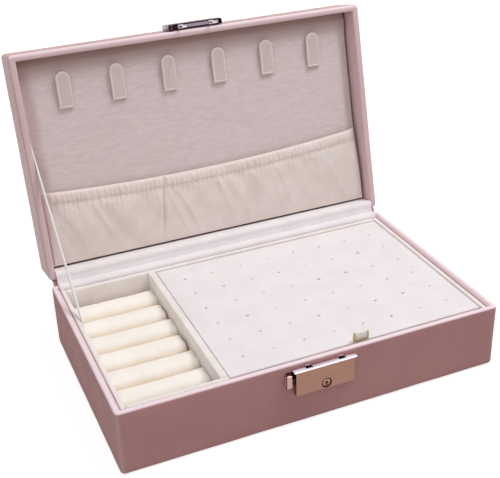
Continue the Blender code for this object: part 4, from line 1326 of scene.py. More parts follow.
@dataclass
class EarringTray:
    """Velour pad with pin holes on a board, with a pull loop at its front edge."""

    columns: int = 8
    rows: int = 6
    margin_x: float = 13.8 * MM
    margin_y: float = 16.6 * MM
    hole: float = 0.75 * MM
    dimple: float = 1.6 * MM
    dimple_depth: float = 0.55 * MM
    dimple_rings: tuple[float, ...] = (0.9, 0.55, 0.25)
    pressed: Pair = (0.7, 1.1)
    edge: float = 0.9 * MM
    room: float = 0.45 * MM
    room_front: float = 1.9 * MM
    room_back: float = 0.9 * MM
    seed: int = 5

    def drawn_in(self, node: str) -> tuple[Vector, Vector]:
        """A node's corners, with a little room left round its sides.

        Args:
            node: the node's name.

        Returns:
            Both corners.
        """
        low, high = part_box(node)
        front, back = Vector((self.room, self.room_front, 0)), Vector((self.room, self.room_back, 0))
        return low + front, high - back

    def hole_cutter(self, pad_top: float, pad_bottom: float) -> Workpiece:
        """A pin with a flared mouth, at the origin.

        Args:
            pad_top: the z of the pad's face.
            pad_bottom: the z of its underside.

        Returns:
            The pin.
        """
        pin = Workpiece.rod("hole_cutter", (0, 0, (pad_top + pad_bottom) / 2), "Z", self.hole,
                            pad_top - pad_bottom + MM, 12)
        with pin.shaping():
            for share in self.dimple_rings:
                pin.bisect((0, 0, pad_top - self.dimple_depth * share), (0, 0, 1))
        points = pin.points()
        depth = np.clip((points[:, 2] - (pad_top - self.dimple_depth)) / self.dimple_depth, 0, 1)
        widen = 1 + depth ** 2 * (self.dimple / self.hole - 1)
        points[:, :2] *= widen[:, None]
        pin.move_points(points)
        return pin

    def places(self) -> list[Place]:
        """Where each hole is, with how firmly it was pressed.

        Returns:
            For each hole x, y and its share of the full width.
        """
        low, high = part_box("tray_pad")
        chance = Random(self.seed)
        width, depth = high.x - low.x - 2 * self.margin_x, high.y - low.y - 2 * self.margin_y
        found = []
        for i in range(self.columns):
            for j in range(self.rows):
                x = low.x + self.margin_x + width * i / (self.columns - 1)
                y = low.y + self.margin_y + depth * j / (self.rows - 1)
                found.append((x, y, chance.uniform(*self.pressed)))
        return found

    def pad(self) -> None:
        """The pad with its holes and slightly pillowed edges."""
        low, high = self.drawn_in("tray_pad")
        pad = Workpiece.block("tray_velour_pad", low, high)
        with pad.shaping():
            pad.pick_edges(lambda a, b: max(a.z, b.z) > high.z - 0.1 * MM)
            pad.bevel(self.edge, 4)
        cutter = self.hole_cutter(high.z, low.z)
        pins = []
        for x, y, press in self.places():
            pin = cutter.copy("pin")
            pin.thing.data.transform(Matrix.Translation((x, y, 0)) @ Matrix.Diagonal((press, press, 1, 1)))
            pins.append(pin)
        bpy.data.objects.remove(cutter.thing)
        join([pin.thing for pin in pins])
        pad.cut(pins[0])
        pad.finish(Body.TRAY, Slot.VELOUR, ["tray_pad"], angle=40)

    def board(self) -> None:
        """The board under the pad."""
        low, high = self.drawn_in("tray_board")
        board = Workpiece.block("tray_backing_board", low, high)
        board.round_edges(0.3 * MM, 2)
        board.finish(Body.TRAY, Slot.FIBREBOARD, ["tray_board"])

    def build(self) -> None:
        """Make the whole tray."""
        self.pad()
        self.board()
        PullLoop().build()


@dataclass
class PullLoop:
    """Loop of ribbon with yellow woven edges, glued into the tray's front edge."""

    thick: float = 0.5 * MM
    border: float = 1.3 * MM
    foot: float = 0.2 * MM
    back: float = 0.9 * MM
    flatter: float = 0.8 * MM
    lower: float = 1.0 * MM
    belly: float = 0.15 * MM
    columns: int = 28
    rows: int = 64

    def build(self) -> None:
        """Fold a strip over and dress it, a little behind its node, since the pad is drawn in there."""
        low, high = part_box("pull_loop")
        low.y += self.back
        high += Vector((0, self.back - self.flatter, -self.lower))
        radius = (high.y - low.y - self.thick) / 2
        centre = (low.y + high.y) / 2
        rise = high.z - low.z - radius - self.thick / 2
        strip = Workpiece.grid("pull_loop_ribbon", self.columns, self.rows)
        share = strip.points()
        length = 2 * rise + math.pi * radius
        along = share[:, 1] * length
        bend = np.clip((along - rise) / radius, 0, math.pi)
        y = centre - radius * np.cos(bend)
        straight = np.where(along < rise, along, np.where(along > length - rise, length - along, rise))
        z = low.z + straight + radius * np.sin(bend)
        x = low.x + (high.x - low.x) * share[:, 0]
        belly = np.sin(math.pi * np.clip(straight / rise, 0, 1)) * self.belly
        y += np.where(along < length / 2, -belly, belly)
        strip.move_points(np.stack([x, y, z], 1))
        from_edge = np.minimum(share[:, 0], 1 - share[:, 0]) * (high.x - low.x)
        from_foot = np.minimum(along, length - along)
        hemmed = 1 - eased(np.minimum(from_edge, from_foot - self.foot), 0.6 * self.border, self.border)
        strip.paint("selvedge", hemmed)
        strip.modify("SOLIDIFY", thickness=self.thick, offset=0)
        strip.finish(Body.LOOP, Slot.RIBBON, ["pull_loop"], look=Look.GILT, angle=60)


# Lid


@dataclass
class LidLining:
    """Padded lining of the lid: creased cloth that is drawn back at its edges, over foam."""

    pitch: float = 1.3 * MM
    cloth: float = 1.2 * MM
    crease: float = 0.16 * MM
    shorter_foot: float = 0.7 * MM
    nearer: float = 1.1 * MM
    drawn: float = 3.6 * MM
    drawn_width: float = 9.0 * MM
    # Reach and strength of the painted shadow below the lid's front wall
    soiled: float = 17.0 * MM
    top_shadow_share: float = 0.85
    edge: float = 0.35 * MM

    def __post_init__(self) -> None:
        """Take the lining's place from the frame."""
        self.low, self.high = shut_box("lid_lining_panel")
        self.left, self.right = self.low.x - self.nearer, self.high.x
        self.top, self.foot = self.low.y - self.nearer, self.high.y - self.shorter_foot
        self.face = self.low.z

    def sink(self, x: float, y: float) -> float:
        """How far the cloth is drawn back from the panel's face at a place.

        Args:
            x: the place's x.
            y: its y when the box is shut.

        Returns:
            The depth.
        """
        length = self.foot - self.top
        from_foot = self.foot - y
        along = smooth_step(from_foot, 0.1 * length, 0.45 * length)
        along *= 1 - 0.5 * smooth_step(from_foot, 0.85 * length, length)
        side = 1 - smooth_step(min(x - self.left, self.right - x), 0, self.drawn_width)
        head = 1 - smooth_step(y - self.top, 0, 0.6 * self.drawn_width)
        return self.drawn * min(1.0, along * side + 0.6 * head)

    def height(self, x: float, y: float) -> float:
        """Height of the cloth from -1 to 1, with long thin creases, strongest at the left.

        Args:
            x: the place's x.
            y: its y when the box is shut.

        Returns:
            The height.
        """
        wander = 4 * MM * rough((x / (26 * MM), y / (30 * MM), 1))
        ridge = 1 - 2 * abs(rough((x / (11 * MM), (y + wander) / (1.9 * MM), 0)))
        second = 1 - 2 * abs(rough((x / (19 * MM), (y - wander) / (3.1 * MM), 4)))
        broad = rough((x / (40 * MM), y / (14 * MM), 5))
        leftness = 1 - 0.55 * smooth_step(x, self.left + 0.25 * (self.right - self.left), self.right)
        strength = leftness * (0.6 + 0.4 * rough((x / (50 * MM), y / (40 * MM), 9)))
        return strength * (0.5 * ridge + 0.25 * second) + 0.3 * broad

    def surface(self, x: float, y: float) -> float:
        """The z of the cloth's face when the box is shut."""
        return self.face + self.crease * (1 - self.height(x, y)) + self.sink(x, y)

    def cover(self) -> None:
        """Make the cloth with its creases and its painted shadow."""
        columns = round((self.right - self.left) / self.pitch)
        rows = round((self.foot - self.top) / self.pitch)
        panel = Workpiece.grid("lid_lining_cloth", columns, rows)
        share = panel.points()
        x = self.left + (self.right - self.left) * share[:, 0]
        y = self.top + (self.foot - self.top) * share[:, 1]
        z = np.array([self.surface(a, b) for a, b in zip(x, y)])
        panel.move_points(np.stack([x, y, z], 1))
        # Painted shadow of the lid's front wall, darkest at the cloth's top edge
        panel.paint("soiled", self.top_shadow_share * (1 - eased(y - self.top, 0.5 * MM, self.soiled)))
        panel.modify("SOLIDIFY", thickness=self.cloth, offset=1)
        panel.round_edges(self.edge, 2, 60)
        panel.finish(Body.LID, Slot.LINING, ["lid_lining_panel"], angle=50)

    def pad(self) -> None:
        """Make the foam behind the cloth."""
        low, high = shut_box("lid_foam")
        foam = Workpiece.block("lid_lining_foam", low, high)
        with foam.shaping():
            foam.slice(0, 4 * self.pitch)
            foam.slice(1, 4 * self.pitch)
        points = foam.points()
        for point in points:
            if point[2] < low.z + MM:
                point[2] += self.sink(point[0], point[1])
        foam.move_points(points)
        foam.finish(Body.LID, Slot.FOAM, ["lid_foam"], angle=40)

    def build(self) -> None:
        """Make the cloth and the foam behind it."""
        self.cover()
        self.pad()


@dataclass
class NecklaceTabs:
    """Tongues that necklaces hang on, each with a raised border."""

    thick: float = 1.5 * MM
    border: float = 1.15 * MM
    groove: float = 0.3 * MM
    dip: float = 0.3 * MM
    edge: float = 0.35 * MM
    tilt: float = math.radians(4.0)

    def build(self) -> None:
        """Make one tab, and copy it to the other places."""
        names = sorted(node for node in frame["nodes"] if node.startswith("necklace_tab_"))
        model = self.shape(names[0])
        first = shut_box(names[0])[0].x
        for name in names:
            tab = model.copy(name + "_tongue")
            tab.thing.data.transform(Matrix.Translation((shut_box(name)[0].x - first, 0, 0)))
            tab.open_lid()
            tab.finish(name.replace("necklace_", ""), Slot.LINING, [name], look=Look.SUEDE, angle=40)
        bpy.data.objects.remove(model.thing)

    def shape(self, node: str) -> Workpiece:
        """The first tab where it lies when the box is shut, with the painted highlight on its border marked.

        Args:
            node: the first tab's node.

        Returns:
            The tab.
        """
        low, high = shut_box(node)
        radius = (high.x - low.x) / 2
        centre_x = (low.x + high.x) / 2
        tip, root = low.y + radius, high.y
        top = shut_box("lid_lining_panel")[0].z - SEAT
        tab = Workpiece.rod("tab", (centre_x, tip, top - self.thick / 2), "Z", radius, self.thick, 48)
        with tab.shaping():
            tab.bisect((0, tip, 0), (0, 1, 0), use_fill=True, clear_outer=True)
            tab.pick_faces(lambda centre, normal: normal.y > 0.9)
            tab.extrude((0, root - tip, 0))
            tab.pick_faces(lambda centre, normal: normal.z < -0.9)
            bpy.ops.mesh.dissolve_faces()
            tab.inset(self.border)
            tab.inset(self.groove, -self.dip)
            tab.inset(self.groove, 0.6 * self.dip)
        tab.round_edges(self.edge, 3, 50)
        points = tab.points()
        round_end = np.hypot(points[:, 0] - centre_x, np.minimum(points[:, 1] - tip, 0))
        inward = np.minimum(radius - round_end, root - points[:, 1])
        # Painted highlight on the raised border
        tab.paint("border", 1 - eased(inward, self.border, self.border + self.groove))
        hinge = Vector((0, root, top))
        turn = Matrix.Translation(hinge) @ Matrix.Rotation(self.tilt, 4, "X") @ Matrix.Translation(-hinge)
        tab.thing.data.transform(turn)
        return tab


@dataclass
class ElasticPocket:
    """Cloth pocket gathered by the elastic in its casing, with one sewn seam."""

    lining: LidLining
    columns: int = 320
    rows: int = 64
    cloth: float = 0.5 * MM
    middle_height: float = 42.7 * MM
    sag: float = 5.0 * MM
    lean: float = 1.5 * MM
    casing: float = 6.6 * MM
    casing_swell: float = 0.8 * MM
    hem_stand: float = 1.7 * MM
    belly: float = 1.3 * MM
    gather_pitch: float = 3.4 * MM
    gather: float = 0.55 * MM
    fold: float = 1.5 * MM
    fullness: float = 1.06
    hem_radius: float = 0.55 * MM
    hem_reach: float = 0.995
    seam_top: float = -31.9 * MM
    seam_foot: float = -37.5 * MM
    seam_width: float = 0.9 * MM
    thread: float = 0.14 * MM
    stitch: float = 1.3 * MM
    stitch_pitch: float = 2.1 * MM
    elastic_reach: float = 0.93
    elastic_below: float = 0.8 * MM
    elastic_width: float = 5.0 * MM
    elastic_thick: float = 0.4 * MM
    elastic_gap: float = 0.3 * MM

    def __post_init__(self) -> None:
        """Take the pocket's reach from the frame."""
        high = shut_box("elastic_pocket")[1]
        self.half = high.x
        self.foot = high.y - self.lining.shorter_foot

    def hem(self, across: float) -> float:
        """The y of the hem, from -1 at the left end to 1 at the right."""
        return self.foot - (self.middle_height + self.sag * across ** 2 + self.lean * across)

    def stand(self, across: float, up: float) -> float:
        """How far the cloth stands off the panel.

        Args:
            across: from -1 at the left end to 1 at the right.
            up: from 0 at the foot to 1 at the hem.

        Returns:
            The stand-off with belly, folds, gathers and casing.
        """
        x = across * self.half
        height = self.foot - self.hem(across)
        below = (1 - up) * height
        pinned = 1 - abs(across) ** 40
        rise = self.hem_stand * math.sin(up * math.pi / 2)
        belly = self.belly * math.sin(up * math.pi) ** 0.8
        relief = rise + belly + self.folds(x, up, below) + self.casing_bulge(across, below)
        return SEAT + self.cloth + pinned * max(0.0, relief)

    def folds(self, x: float, up: float, below: float) -> float:
        """Soft folds that slant down to the right below the casing and fade towards the foot.

        Args:
            x: the place's x.
            up: from 0 at the foot to 1 at the hem.
            below: the distance from the hem.

        Returns:
            The folds' height.
        """
        slant = x - below * (0.42 + 0.3 * rough((x / (70 * MM), 2, 0)))
        broad = rough((slant / (13 * MM), below / (70 * MM), 3))
        crest = 1 - 3 * abs(rough((slant / (10 * MM), below / (60 * MM), 17)))
        fine = rough((slant / (4.5 * MM), below / (25 * MM), 11))
        start = min(1.0, max(0.0, below - self.casing) / (4 * MM))
        fade = max(0.0, up) ** 0.7
        return self.fold * start * fade * (broad + 0.55 * max(crest, -0.4) + 0.35 * fine * up)

    def casing_bulge(self, across: float, below: float) -> float:
        """The casing's round swell, puckered by the elastic, and the dip at its stitching.

        Args:
            across: from -1 at the left end to 1 at the right.
            below: the distance from the hem.

        Returns:
            The height of all three.
        """
        x = across * self.half
        pucker = rough((x / self.gather_pitch * 1.9, below / (9 * MM), 21))
        teeth = math.sin(2 * math.pi * (x / self.gather_pitch + 0.8 * rough((x / (15 * MM), 0, 4))))
        if below < self.casing:
            share = below / self.casing
            swell = self.casing_swell * math.sin(math.pi * share) ** 0.6
            return swell + self.gather * math.sin(math.pi * share * 0.9 + 0.2) * (0.6 * teeth + 0.8 * pucker)
        fade = math.exp(-(below - self.casing) / (3.5 * MM))
        return self.gather * fade * (0.7 * teeth + 0.7 * pucker) - 0.15 * MM * fade

    def seam_dip(self, x: float, up: float) -> float:
        """The narrow groove where the pocket is sewn to the panel, from 0 far from it to 1 in it."""
        middle = self.seam_foot + (self.seam_top - self.seam_foot) * up
        return math.exp(-((x - middle) / self.seam_width) ** 2)

    def place(self, across: float, up: float) -> Place:
        """One point of the cloth when the box is shut.

        Args:
            across: from -1 at the left end to 1 at the right.
            up: from 0 at the foot to 1 at the hem.

        Returns:
            The point.
        """
        x = across * self.half
        y = self.foot + (self.hem(across) - self.foot) * up
        stand = self.stand(across, up)
        stand -= 0.6 * self.seam_dip(x, up) * (stand - SEAT - self.cloth)
        return (x, y, self.lining.face + self.lining.sink(x, y) - stand)

    def build(self) -> None:
        """Make the cloth, its hem roll and its stitches."""
        cloth = Workpiece.grid("pocket_cloth", self.columns, self.rows)
        share = cloth.points()
        ups = share[:, 1] ** 0.85
        places = [self.place(2 * a - 1, b) for a, b in zip(share[:, 0], ups)]
        cloth.move_points(np.array(places))
        below = (1 - ups) * self.middle_height
        # Painted highlight along the cloth's top edge at the hem
        cloth.paint("rolled", 1 - eased(below, 0.5 * MM, 1.6 * MM))
        cloth.modify("SOLIDIFY", thickness=self.cloth, offset=-1)
        cloth.finish(Body.LID, Slot.POCKET, ["elastic_pocket"], angle=70)
        self.roll_hem()
        self.sew()
        self.elastic()

    def elastic(self) -> None:
        """The woven elastic behind the casing, which follows its gathers."""
        band = Workpiece.grid("hem_elastic_band", self.columns // 2, 6)
        share = band.points()
        places = []
        for a, b in zip(share[:, 0], share[:, 1]):
            across = self.elastic_reach * (2 * a - 1)
            below = self.elastic_below + self.elastic_width * b
            x, y, z = self.place(across, 1 - below / (self.foot - self.hem(across)))
            places.append((x, y, z + self.cloth + self.elastic_gap))
        band.move_points(np.array(places))
        band.modify("SOLIDIFY", thickness=self.elastic_thick, offset=0)
        band.finish(Body.LID, Slot.ELASTIC, ["pocket_elastic"], angle=60)

    def roll_hem(self) -> None:
        """The narrow bright roll at the hem."""
        roll = Workpiece.rod("pocket_hem_roll", (0, 0, 0), "X", self.hem_radius, 1.0, 10)
        with roll.shaping():
            roll.slice(0, 1 / 240)
        points = roll.points()
        across = points[:, 0] * 2
        for i, a in enumerate(across):
            x, y, z = self.place(max(-self.hem_reach, min(self.hem_reach, float(a))), 1.0)
            points[i] = (x, y + points[i][1] + 0.15 * MM, z + points[i][2] + self.cloth * 0.4)
        roll.move_points(points)
        # Painted highlight over the whole hem roll
        roll.paint("rolled", np.ones(len(points)))
        roll.finish(Body.LID, Slot.POCKET, angle=60)

    def sew(self) -> None:
        """Stitches along the casing and down the seam, joined into one piece."""
        model = Workpiece.rod("stitch", (0, 0, 0), "X", self.thread, self.stitch, 5)
        model.modify("BEVEL", width=0.06 * MM, segments=1, limit_method="NONE")
        stitches = []
        count = int(2 * self.half * 0.99 / self.stitch_pitch)
        for i in range(count):
            across = -0.99 + 1.98 * i / (count - 1)
            up = 1 - self.casing / (self.foot - self.hem(across))
            ahead = (across + 0.004, 1 - self.casing / (self.foot - self.hem(across + 0.004)))
            stitches.append(self.stitch_at(model, (across, up), ahead))
        steps = int(self.middle_height * 0.8 / self.stitch_pitch)
        for i in range(steps):
            up = 0.03 + 0.8 * i / (steps - 1)
            across = (self.seam_foot + (self.seam_top - self.seam_foot) * up) / self.half
            stitches.append(self.stitch_at(model, (across, up), (across, up + 0.02)))
        bpy.data.objects.remove(model.thing)
        join(stitches)
        thread = Workpiece("pocket_stitching")
        thread.finish(Body.LID, Slot.POCKET, angle=60)

    def stitch_at(self, model: Workpiece, here: Pair, ahead: Pair) -> bpy.types.Object:
        """One stitch on the cloth at a place, pointing to another.

        Args:
            model: the stitch to copy.
            here: its place, across and up.
            ahead: the place that it points to.

        Returns:
            The stitch.
        """
        a, b = Vector(self.place(*here)), Vector(self.place(*ahead))
        turn = (b - a).normalized().to_track_quat("X", "Z").to_matrix().to_4x4()
        stitch = model.thing.copy()
        stitch.data = model.thing.data.copy()
        stitch.data.transform(Matrix.Translation(a + Vector((0, 0, -self.cloth - 0.05 * MM))) @ turn)
        bpy.context.scene.collection.objects.link(stitch)
        return stitch


# Hinge and stay


STRIP_COLUMNS = 90


def swept_strip(name: str, path: Sequence[Pair], half: float, thick: float) -> Workpiece:
    """A strip of cloth along a path of (y, z) points, even from side to side.

    Args:
        name: the piece's name.
        path: the strip's line, from foot to end.
        half: half its width.
        thick: its thickness.

    Returns:
        The strip.
    """
    strip = Workpiece.grid(name, STRIP_COLUMNS, len(path) - 1)
    share = strip.points()
    index = np.rint(share[:, 1] * (len(path) - 1)).astype(int)
    table = np.array([list(point) for point in path])
    x = half * (2 * share[:, 0] - 1)
    strip.move_points(np.stack([x, table[index, 0], table[index, 1]], 1))
    strip.modify("SOLIDIFY", thickness=thick, offset=0)
    return strip


def smooth_path(corners: Sequence[Sequence[float]], pitch: float) -> list[Pair]:
    """Points at an even pitch along straight runs between corners, rounded by averaging.

    Args:
        corners: the (y, z) places where the path turns.
        pitch: the distance from point to point.

    Returns:
        The path's (y, z) points.
    """
    dense = []
    for (ay, az), (by, bz) in zip(corners, corners[1:]):
        steps = max(2, round(math.hypot(by - ay, bz - az) / pitch))
        dense += [(ay + (by - ay) * i / steps, az + (bz - az) * i / steps) for i in range(steps)]
    dense.append(tuple(corners[-1]))
    points = np.array(dense)
    for _ in range(3):
        points[1:-1] = (points[:-2] + 2 * points[1:-1] + points[2:]) / 4
    return [tuple(point) for point in points]


def opened(y: float, z: float) -> Pair:
    """Where a (y, z) place on the shut lid lies when the lid stands open."""
    point = OPENING @ Vector((0, y, z))
    return point.y, point.z


@dataclass
class HingeStrips:
    """Velour strip inside the hinge and leather strip outside it."""

    lining: float = 0.6 * MM
    spine: float = 0.8 * MM
    reach: float = 15.0 * MM
    rim: float = 1.3 * MM
    swell: float = 0.45 * MM
    notch: float = 0.45 * MM
    tuck: float = 5.0 * MM
    panel_gap: float = 1.2 * MM
    bend_behind: float = 1.7 * MM
    bend_above: float = 2.6 * MM

    def build(self) -> None:
        """Make both strips, which bend from the base to the lid."""
        self.inside()
        self.outside()

    def inside(self) -> None:
        """Velour over both back rims, with the crease at the hinge line."""
        base_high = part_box("base_shell")[1]
        lid_low = shut_box("lid_shell")[0]
        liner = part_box("liner_back")[1]
        groove = liner.y + SEAT + self.lining / 2
        over, under = base_high.z + SEAT + self.lining / 2, lid_low.z - SEAT - self.lining / 2
        back = base_high.y
        panel = shut_box("lid_lining_panel")[0].z
        swell, notch = self.swell, self.notch
        corners = [
            (groove, liner.z - self.tuck),
            (groove, over - 1.2 * self.rim),
            (groove + 0.05 * self.rim, over - 0.5 * self.rim),
            (groove + 0.5 * self.rim, over - notch),
            (groove + 0.9 * self.rim, over + 0.3 * swell),
            (groove + 1.6 * self.rim, over + swell),
            (back - 1.3 * self.rim, over + swell),
            (back - 0.5 * self.rim, over - 0.5 * notch),
            (back + 0.1 * self.rim, over - 2.4 * notch),
            opened(back - 0.7 * self.rim, under - 0.3 * swell),
            opened(back - 1.6 * self.rim, under - swell),
            opened(groove + 1.2 * self.rim, under - swell),
            opened(groove + 0.5 * self.rim, under - 0.2 * swell),
            opened(groove + 0.05 * self.rim, under + 0.5 * self.rim),
            opened(groove, panel + self.panel_gap),
        ]
        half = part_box("hinge_lining")[1].x
        strip = swept_strip("hinge_lining_strip", smooth_path(corners, 0.4 * MM), half, self.lining)
        strip.ruffle(8 * MM, 0.25 * MM)
        strip.finish(Body.BASE, Slot.VELOUR, ["hinge_lining"], angle=60, rides=False)
        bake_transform(strip.thing)

    def outside(self) -> None:
        """Leather strip up the back of the base and along the lid."""
        base_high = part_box("base_shell")[1]
        lid_low = shut_box("lid_shell")[0]
        face = base_high.y + SEAT + self.spine / 2
        corners = [
            (face, base_high.z - self.reach),
            (face, base_high.z - self.rim),
            opened(face, lid_low.z + self.rim),
            opened(face, lid_low.z + self.reach),
        ]
        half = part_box("hinge_spine")[1].x
        path = smooth_path(corners, 0.5 * MM)
        strip = swept_strip("hinge_spine_strip", path, half, self.spine)
        strip.ruffle(12 * MM, 0.2 * MM)
        strip.finish(Body.BASE, Slot.LEATHER_STRIP, ["hinge_spine"], angle=60, rides=False)
        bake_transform(strip.thing)


@dataclass
class RibbonStay:
    """Satin ribbon that holds the lid open at the left."""

    width: float = 4.8 * MM
    thick: float = 0.8 * MM
    forward: float = 39.0 * MM
    tail: float = 8.5 * MM
    lid_back: float = 78.0 * MM
    lid_up: float = 6.0 * MM
    tuck: float = 6.0 * MM
    twist: float = math.radians(-2)
    columns: int = 8
    tail_steps: int = 8
    steps: int = 70

    def build(self) -> None:
        """Make the taut ribbon and bend it from the base to the lid."""
        outer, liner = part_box("liner_left")
        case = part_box("base_shell")[1]
        lid = shut_box("lid_shell")[0]
        wall = outer.x - SEAT
        base_y = case.y - (wall + case.x) - self.forward
        turn = Vector((liner.x + SEAT + self.thick / 2, base_y, liner.z))
        top = Vector((wall + SEAT + self.thick / 2, *opened(case.y - self.lid_back, lid.z + self.lid_up)))
        foot = turn - Vector((0, 0, self.tail))
        rise = (top - turn).normalized()
        end = top + rise * self.tuck
        stations = [foot.lerp(turn, i / self.tail_steps) for i in range(self.tail_steps)]
        stations += [turn.lerp(end, i / self.steps) for i in range(self.steps + 1)]
        ribbon = Workpiece.grid("stay_ribbon", self.columns, len(stations) - 1)
        share = ribbon.points()
        places = np.zeros_like(share)
        for i, (across, along, _) in enumerate(share):
            places[i] = self.point(stations, int(round(along * (len(stations) - 1))), across - 0.5)
        ribbon.move_points(places)
        ribbon.modify("SOLIDIFY", thickness=self.thick, offset=0)
        ribbon.finish(Body.BASE, Slot.RIBBON, ["ribbon_stay"], angle=60, rides=False)
        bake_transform(ribbon.thing)

    def point(self, stations: list[Vector], index: int, across: float) -> Place:
        """One point across the ribbon at a station, with a gentle twist between its ends.

        Args:
            stations: the ribbon's middle line.
            index: which station.
            across: from -0.5 at one edge to 0.5 at the other.

        Returns:
            The point.
        """
        here = stations[index]
        before, after = stations[max(index - 1, 0)], stations[min(index + 1, len(stations) - 1)]
        way = (after - before).normalized()
        side = Vector((1, 0, 0)).cross(way).normalized()
        share = max(0.0, (index - self.tail_steps) / self.steps)
        angle = self.twist * math.sin(math.pi * share)
        side = Matrix.Rotation(angle, 3, way) @ side
        return here + side * self.width * across


# Lock


@dataclass
class Lock:
    """Lock on the base's front: cover, flange, button and key plug."""

    sheet: float = 0.7 * MM
    flange_ends: float = 1.25 * MM
    flange_front: float = 0.55 * MM
    slot_width: float = 4.0 * MM
    slot_depth: float = 2.0 * MM
    slots: Pair = (-8.0 * MM, 11.8 * MM)
    key_radius: float = 3.1 * MM
    frame_inset: float = 1.4 * MM
    frame_line: float = 0.25 * MM
    frame_depth: float = 0.06 * MM
    button_less: float = 0.6 * MM
    plug_radius: float = 2.45 * MM
    plug_barrel: float = 1.5 * MM
    plug_deep: float = 1.0 * MM
    plug_edge: float = 0.3 * MM
    pin_hole: float = 0.95 * MM
    pin_up: float = 0.3 * MM
    way_half: float = 0.55 * MM
    way_down: float = 1.9 * MM
    arc_share: float = 0.82
    bite_down: float = 0.75 * MM
    edge: float = 0.4 * MM
    flange_corner: float = 0.6 * MM
    flange_edge: float = 0.28 * MM
    guide_radius: float = 1.9 * MM
    guide_thick: float = 0.5 * MM
    window_room: float = 0.3 * MM
    window_up: float = 4.5 * MM
    window_reach: float = 1.5 * MM
    dish_rim: float = 0.6 * MM
    dish_wall: float = 0.4 * MM
    dish_depth: float = 0.25 * MM
    # Thickness and stand-off of the dark plate that paints the shade round the button
    backing: float = 0.3 * MM
    gap_shade_stand: float = 0.12 * MM
    coil_wire: float = 0.3 * MM
    coil_turns: int = 7

    def __post_init__(self) -> None:
        """Take the lock's place from the frame."""
        self.low, self.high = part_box("lock_cover")
        key_low, key_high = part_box("key_cylinder")
        self.key = Vector(((key_low.x + key_high.x) / 2, self.low.y, (key_low.z + key_high.z) / 2))
        self.middle = (self.low.y + self.high.y) / 2

    def cover(self) -> None:
        """The folded sheet cover, with a fine frame line pressed into its face."""
        low, high = self.low.copy(), self.high.copy()
        high.z -= self.sheet
        cover = Workpiece.block("lock_front_cover", low, high)
        with cover.shaping():
            cover.pick_faces(lambda centre, normal: normal.y > 0.9)
            cover.inset(self.sheet)
            cover.extrude((0, low.y + self.sheet - high.y, 0))
        cover.round_edges(self.edge, 3, 40)
        with cover.shaping():
            cover.pick_faces(lambda centre, normal: normal.y < -0.99)
            cover.inset(self.frame_inset)
            cover.inset(self.frame_line, -self.frame_depth)
            cover.inset(self.frame_line, self.frame_depth)
        keyhole = self.on_key("keyhole", self.key.y - 3 * MM, self.key.y + 3 * MM, self.key_radius)
        cover.cut(keyhole, self.window(), *self.throats())
        # The cover's plating colour carries a painted reflection
        cover.finish(Body.BASE, Slot.PLATED, ["lock_cover"], angle=30)

    def window(self) -> Workpiece:
        """The opening for the slide's stem at the left.

        Returns:
            The cutter.
        """
        low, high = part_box("slide_bar")
        near = (self.low.x - MM, low.y - self.window_room, low.z + self.window_up)
        far = (self.low.x + self.window_reach, high.y + self.window_room, high.z)
        return Workpiece.block("window", near, far)

    def throats(self) -> list[Workpiece]:
        """Cutters for the two slots that the strike's hooks drop into.

        Returns:
            Both cutters.
        """
        cutters = []
        for x in self.slots:
            low = (x - self.slot_width / 2, self.middle - self.slot_depth / 2, self.high.z - 3 * MM)
            high = (x + self.slot_width / 2, self.middle + self.slot_depth / 2, self.high.z + MM)
            cutters.append(Workpiece.block("throat", low, high))
        return cutters

    def flange(self) -> None:
        """The bright top plate with its slots and rounded front lip, a lit copy of the cover's plating:
        painted highlight.
        """
        low = (self.low.x - self.flange_ends, self.low.y - self.flange_front, self.high.z - self.sheet)
        high = (self.high.x + self.flange_ends, self.high.y, self.high.z + 0.1 * MM)
        plate = Workpiece.block("lock_top_flange", low, high)
        with plate.shaping():
            plate.pick_edges(lambda a, b: abs(a.z - b.z) > 0.1 * MM)
            plate.bevel(self.flange_corner, 4)
        plate.round_edges(self.flange_edge, 3, 40)
        plate.cut(*self.throats())
        # Painted highlight: the same sheet as the cover, in the bright finish
        plate.finish(Body.BASE, Slot.BRIGHT, angle=30)
        self.lips()

    def lips(self) -> None:
        """Small curled guides behind the slots."""
        for number, x in enumerate(self.slots, 1):
            place = (x, self.middle + (self.slot_depth + self.guide_thick) / 2, self.high.z)
            lip = Workpiece.rod(f"slot_guide_{number}", place, "Y", self.guide_radius, self.guide_thick)
            with lip.shaping():
                lip.bisect((0, 0, self.high.z), (0, 0, 1), use_fill=True, clear_inner=True)
            points = lip.points()
            points[:, 2] = self.high.z + (points[:, 2] - self.high.z) * 0.5
            lip.move_points(points)
            lip.round_edges(0.12 * MM, 2, 40)
            # Bright like the flange: painted highlight
            lip.finish(Body.BASE, Slot.BRIGHT, angle=40)

    def button(self) -> None:
        """Push button with rounded edges and a shallow dish for the finger, with a dark plate behind it that
        paints the shade in the gap round the button.
        """
        low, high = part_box("lock_button")
        less = self.button_less
        low, high = low + Vector((less, 0, less)), high - Vector((0, 0, 2 * less))
        button = Workpiece.block("lock_push_button", low, high)
        with button.shaping():
            button.pick_edges(lambda a, b: abs(a.x - b.x) > MM)
            button.bevel(0.8 * MM, 4)
            button.pick_faces(lambda centre, normal: normal.x < -0.9)
            button.inset(self.dish_rim)
            button.inset(self.dish_wall, -self.dish_depth)
        button.round_edges(self.edge, 3, 40)
        button.finish(Body.SLIDER, Slot.PLATED, ["lock_button"], look=Look.ROSY, angle=30)
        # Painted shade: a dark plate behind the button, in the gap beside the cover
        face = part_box("base_shell")[0].y - self.gap_shade_stand
        low = (low.x + 0.8 * MM, face - self.backing, low.z + 0.2 * MM)
        backing = Workpiece.block("button_backing", low, (self.low.x - 0.1 * MM, face, high.z + 0.4 * MM))
        backing.round_edges(0.12 * MM, 2, 40)
        backing.finish(Body.BASE, Slot.PLATED, look=Look.DARK, angle=30)

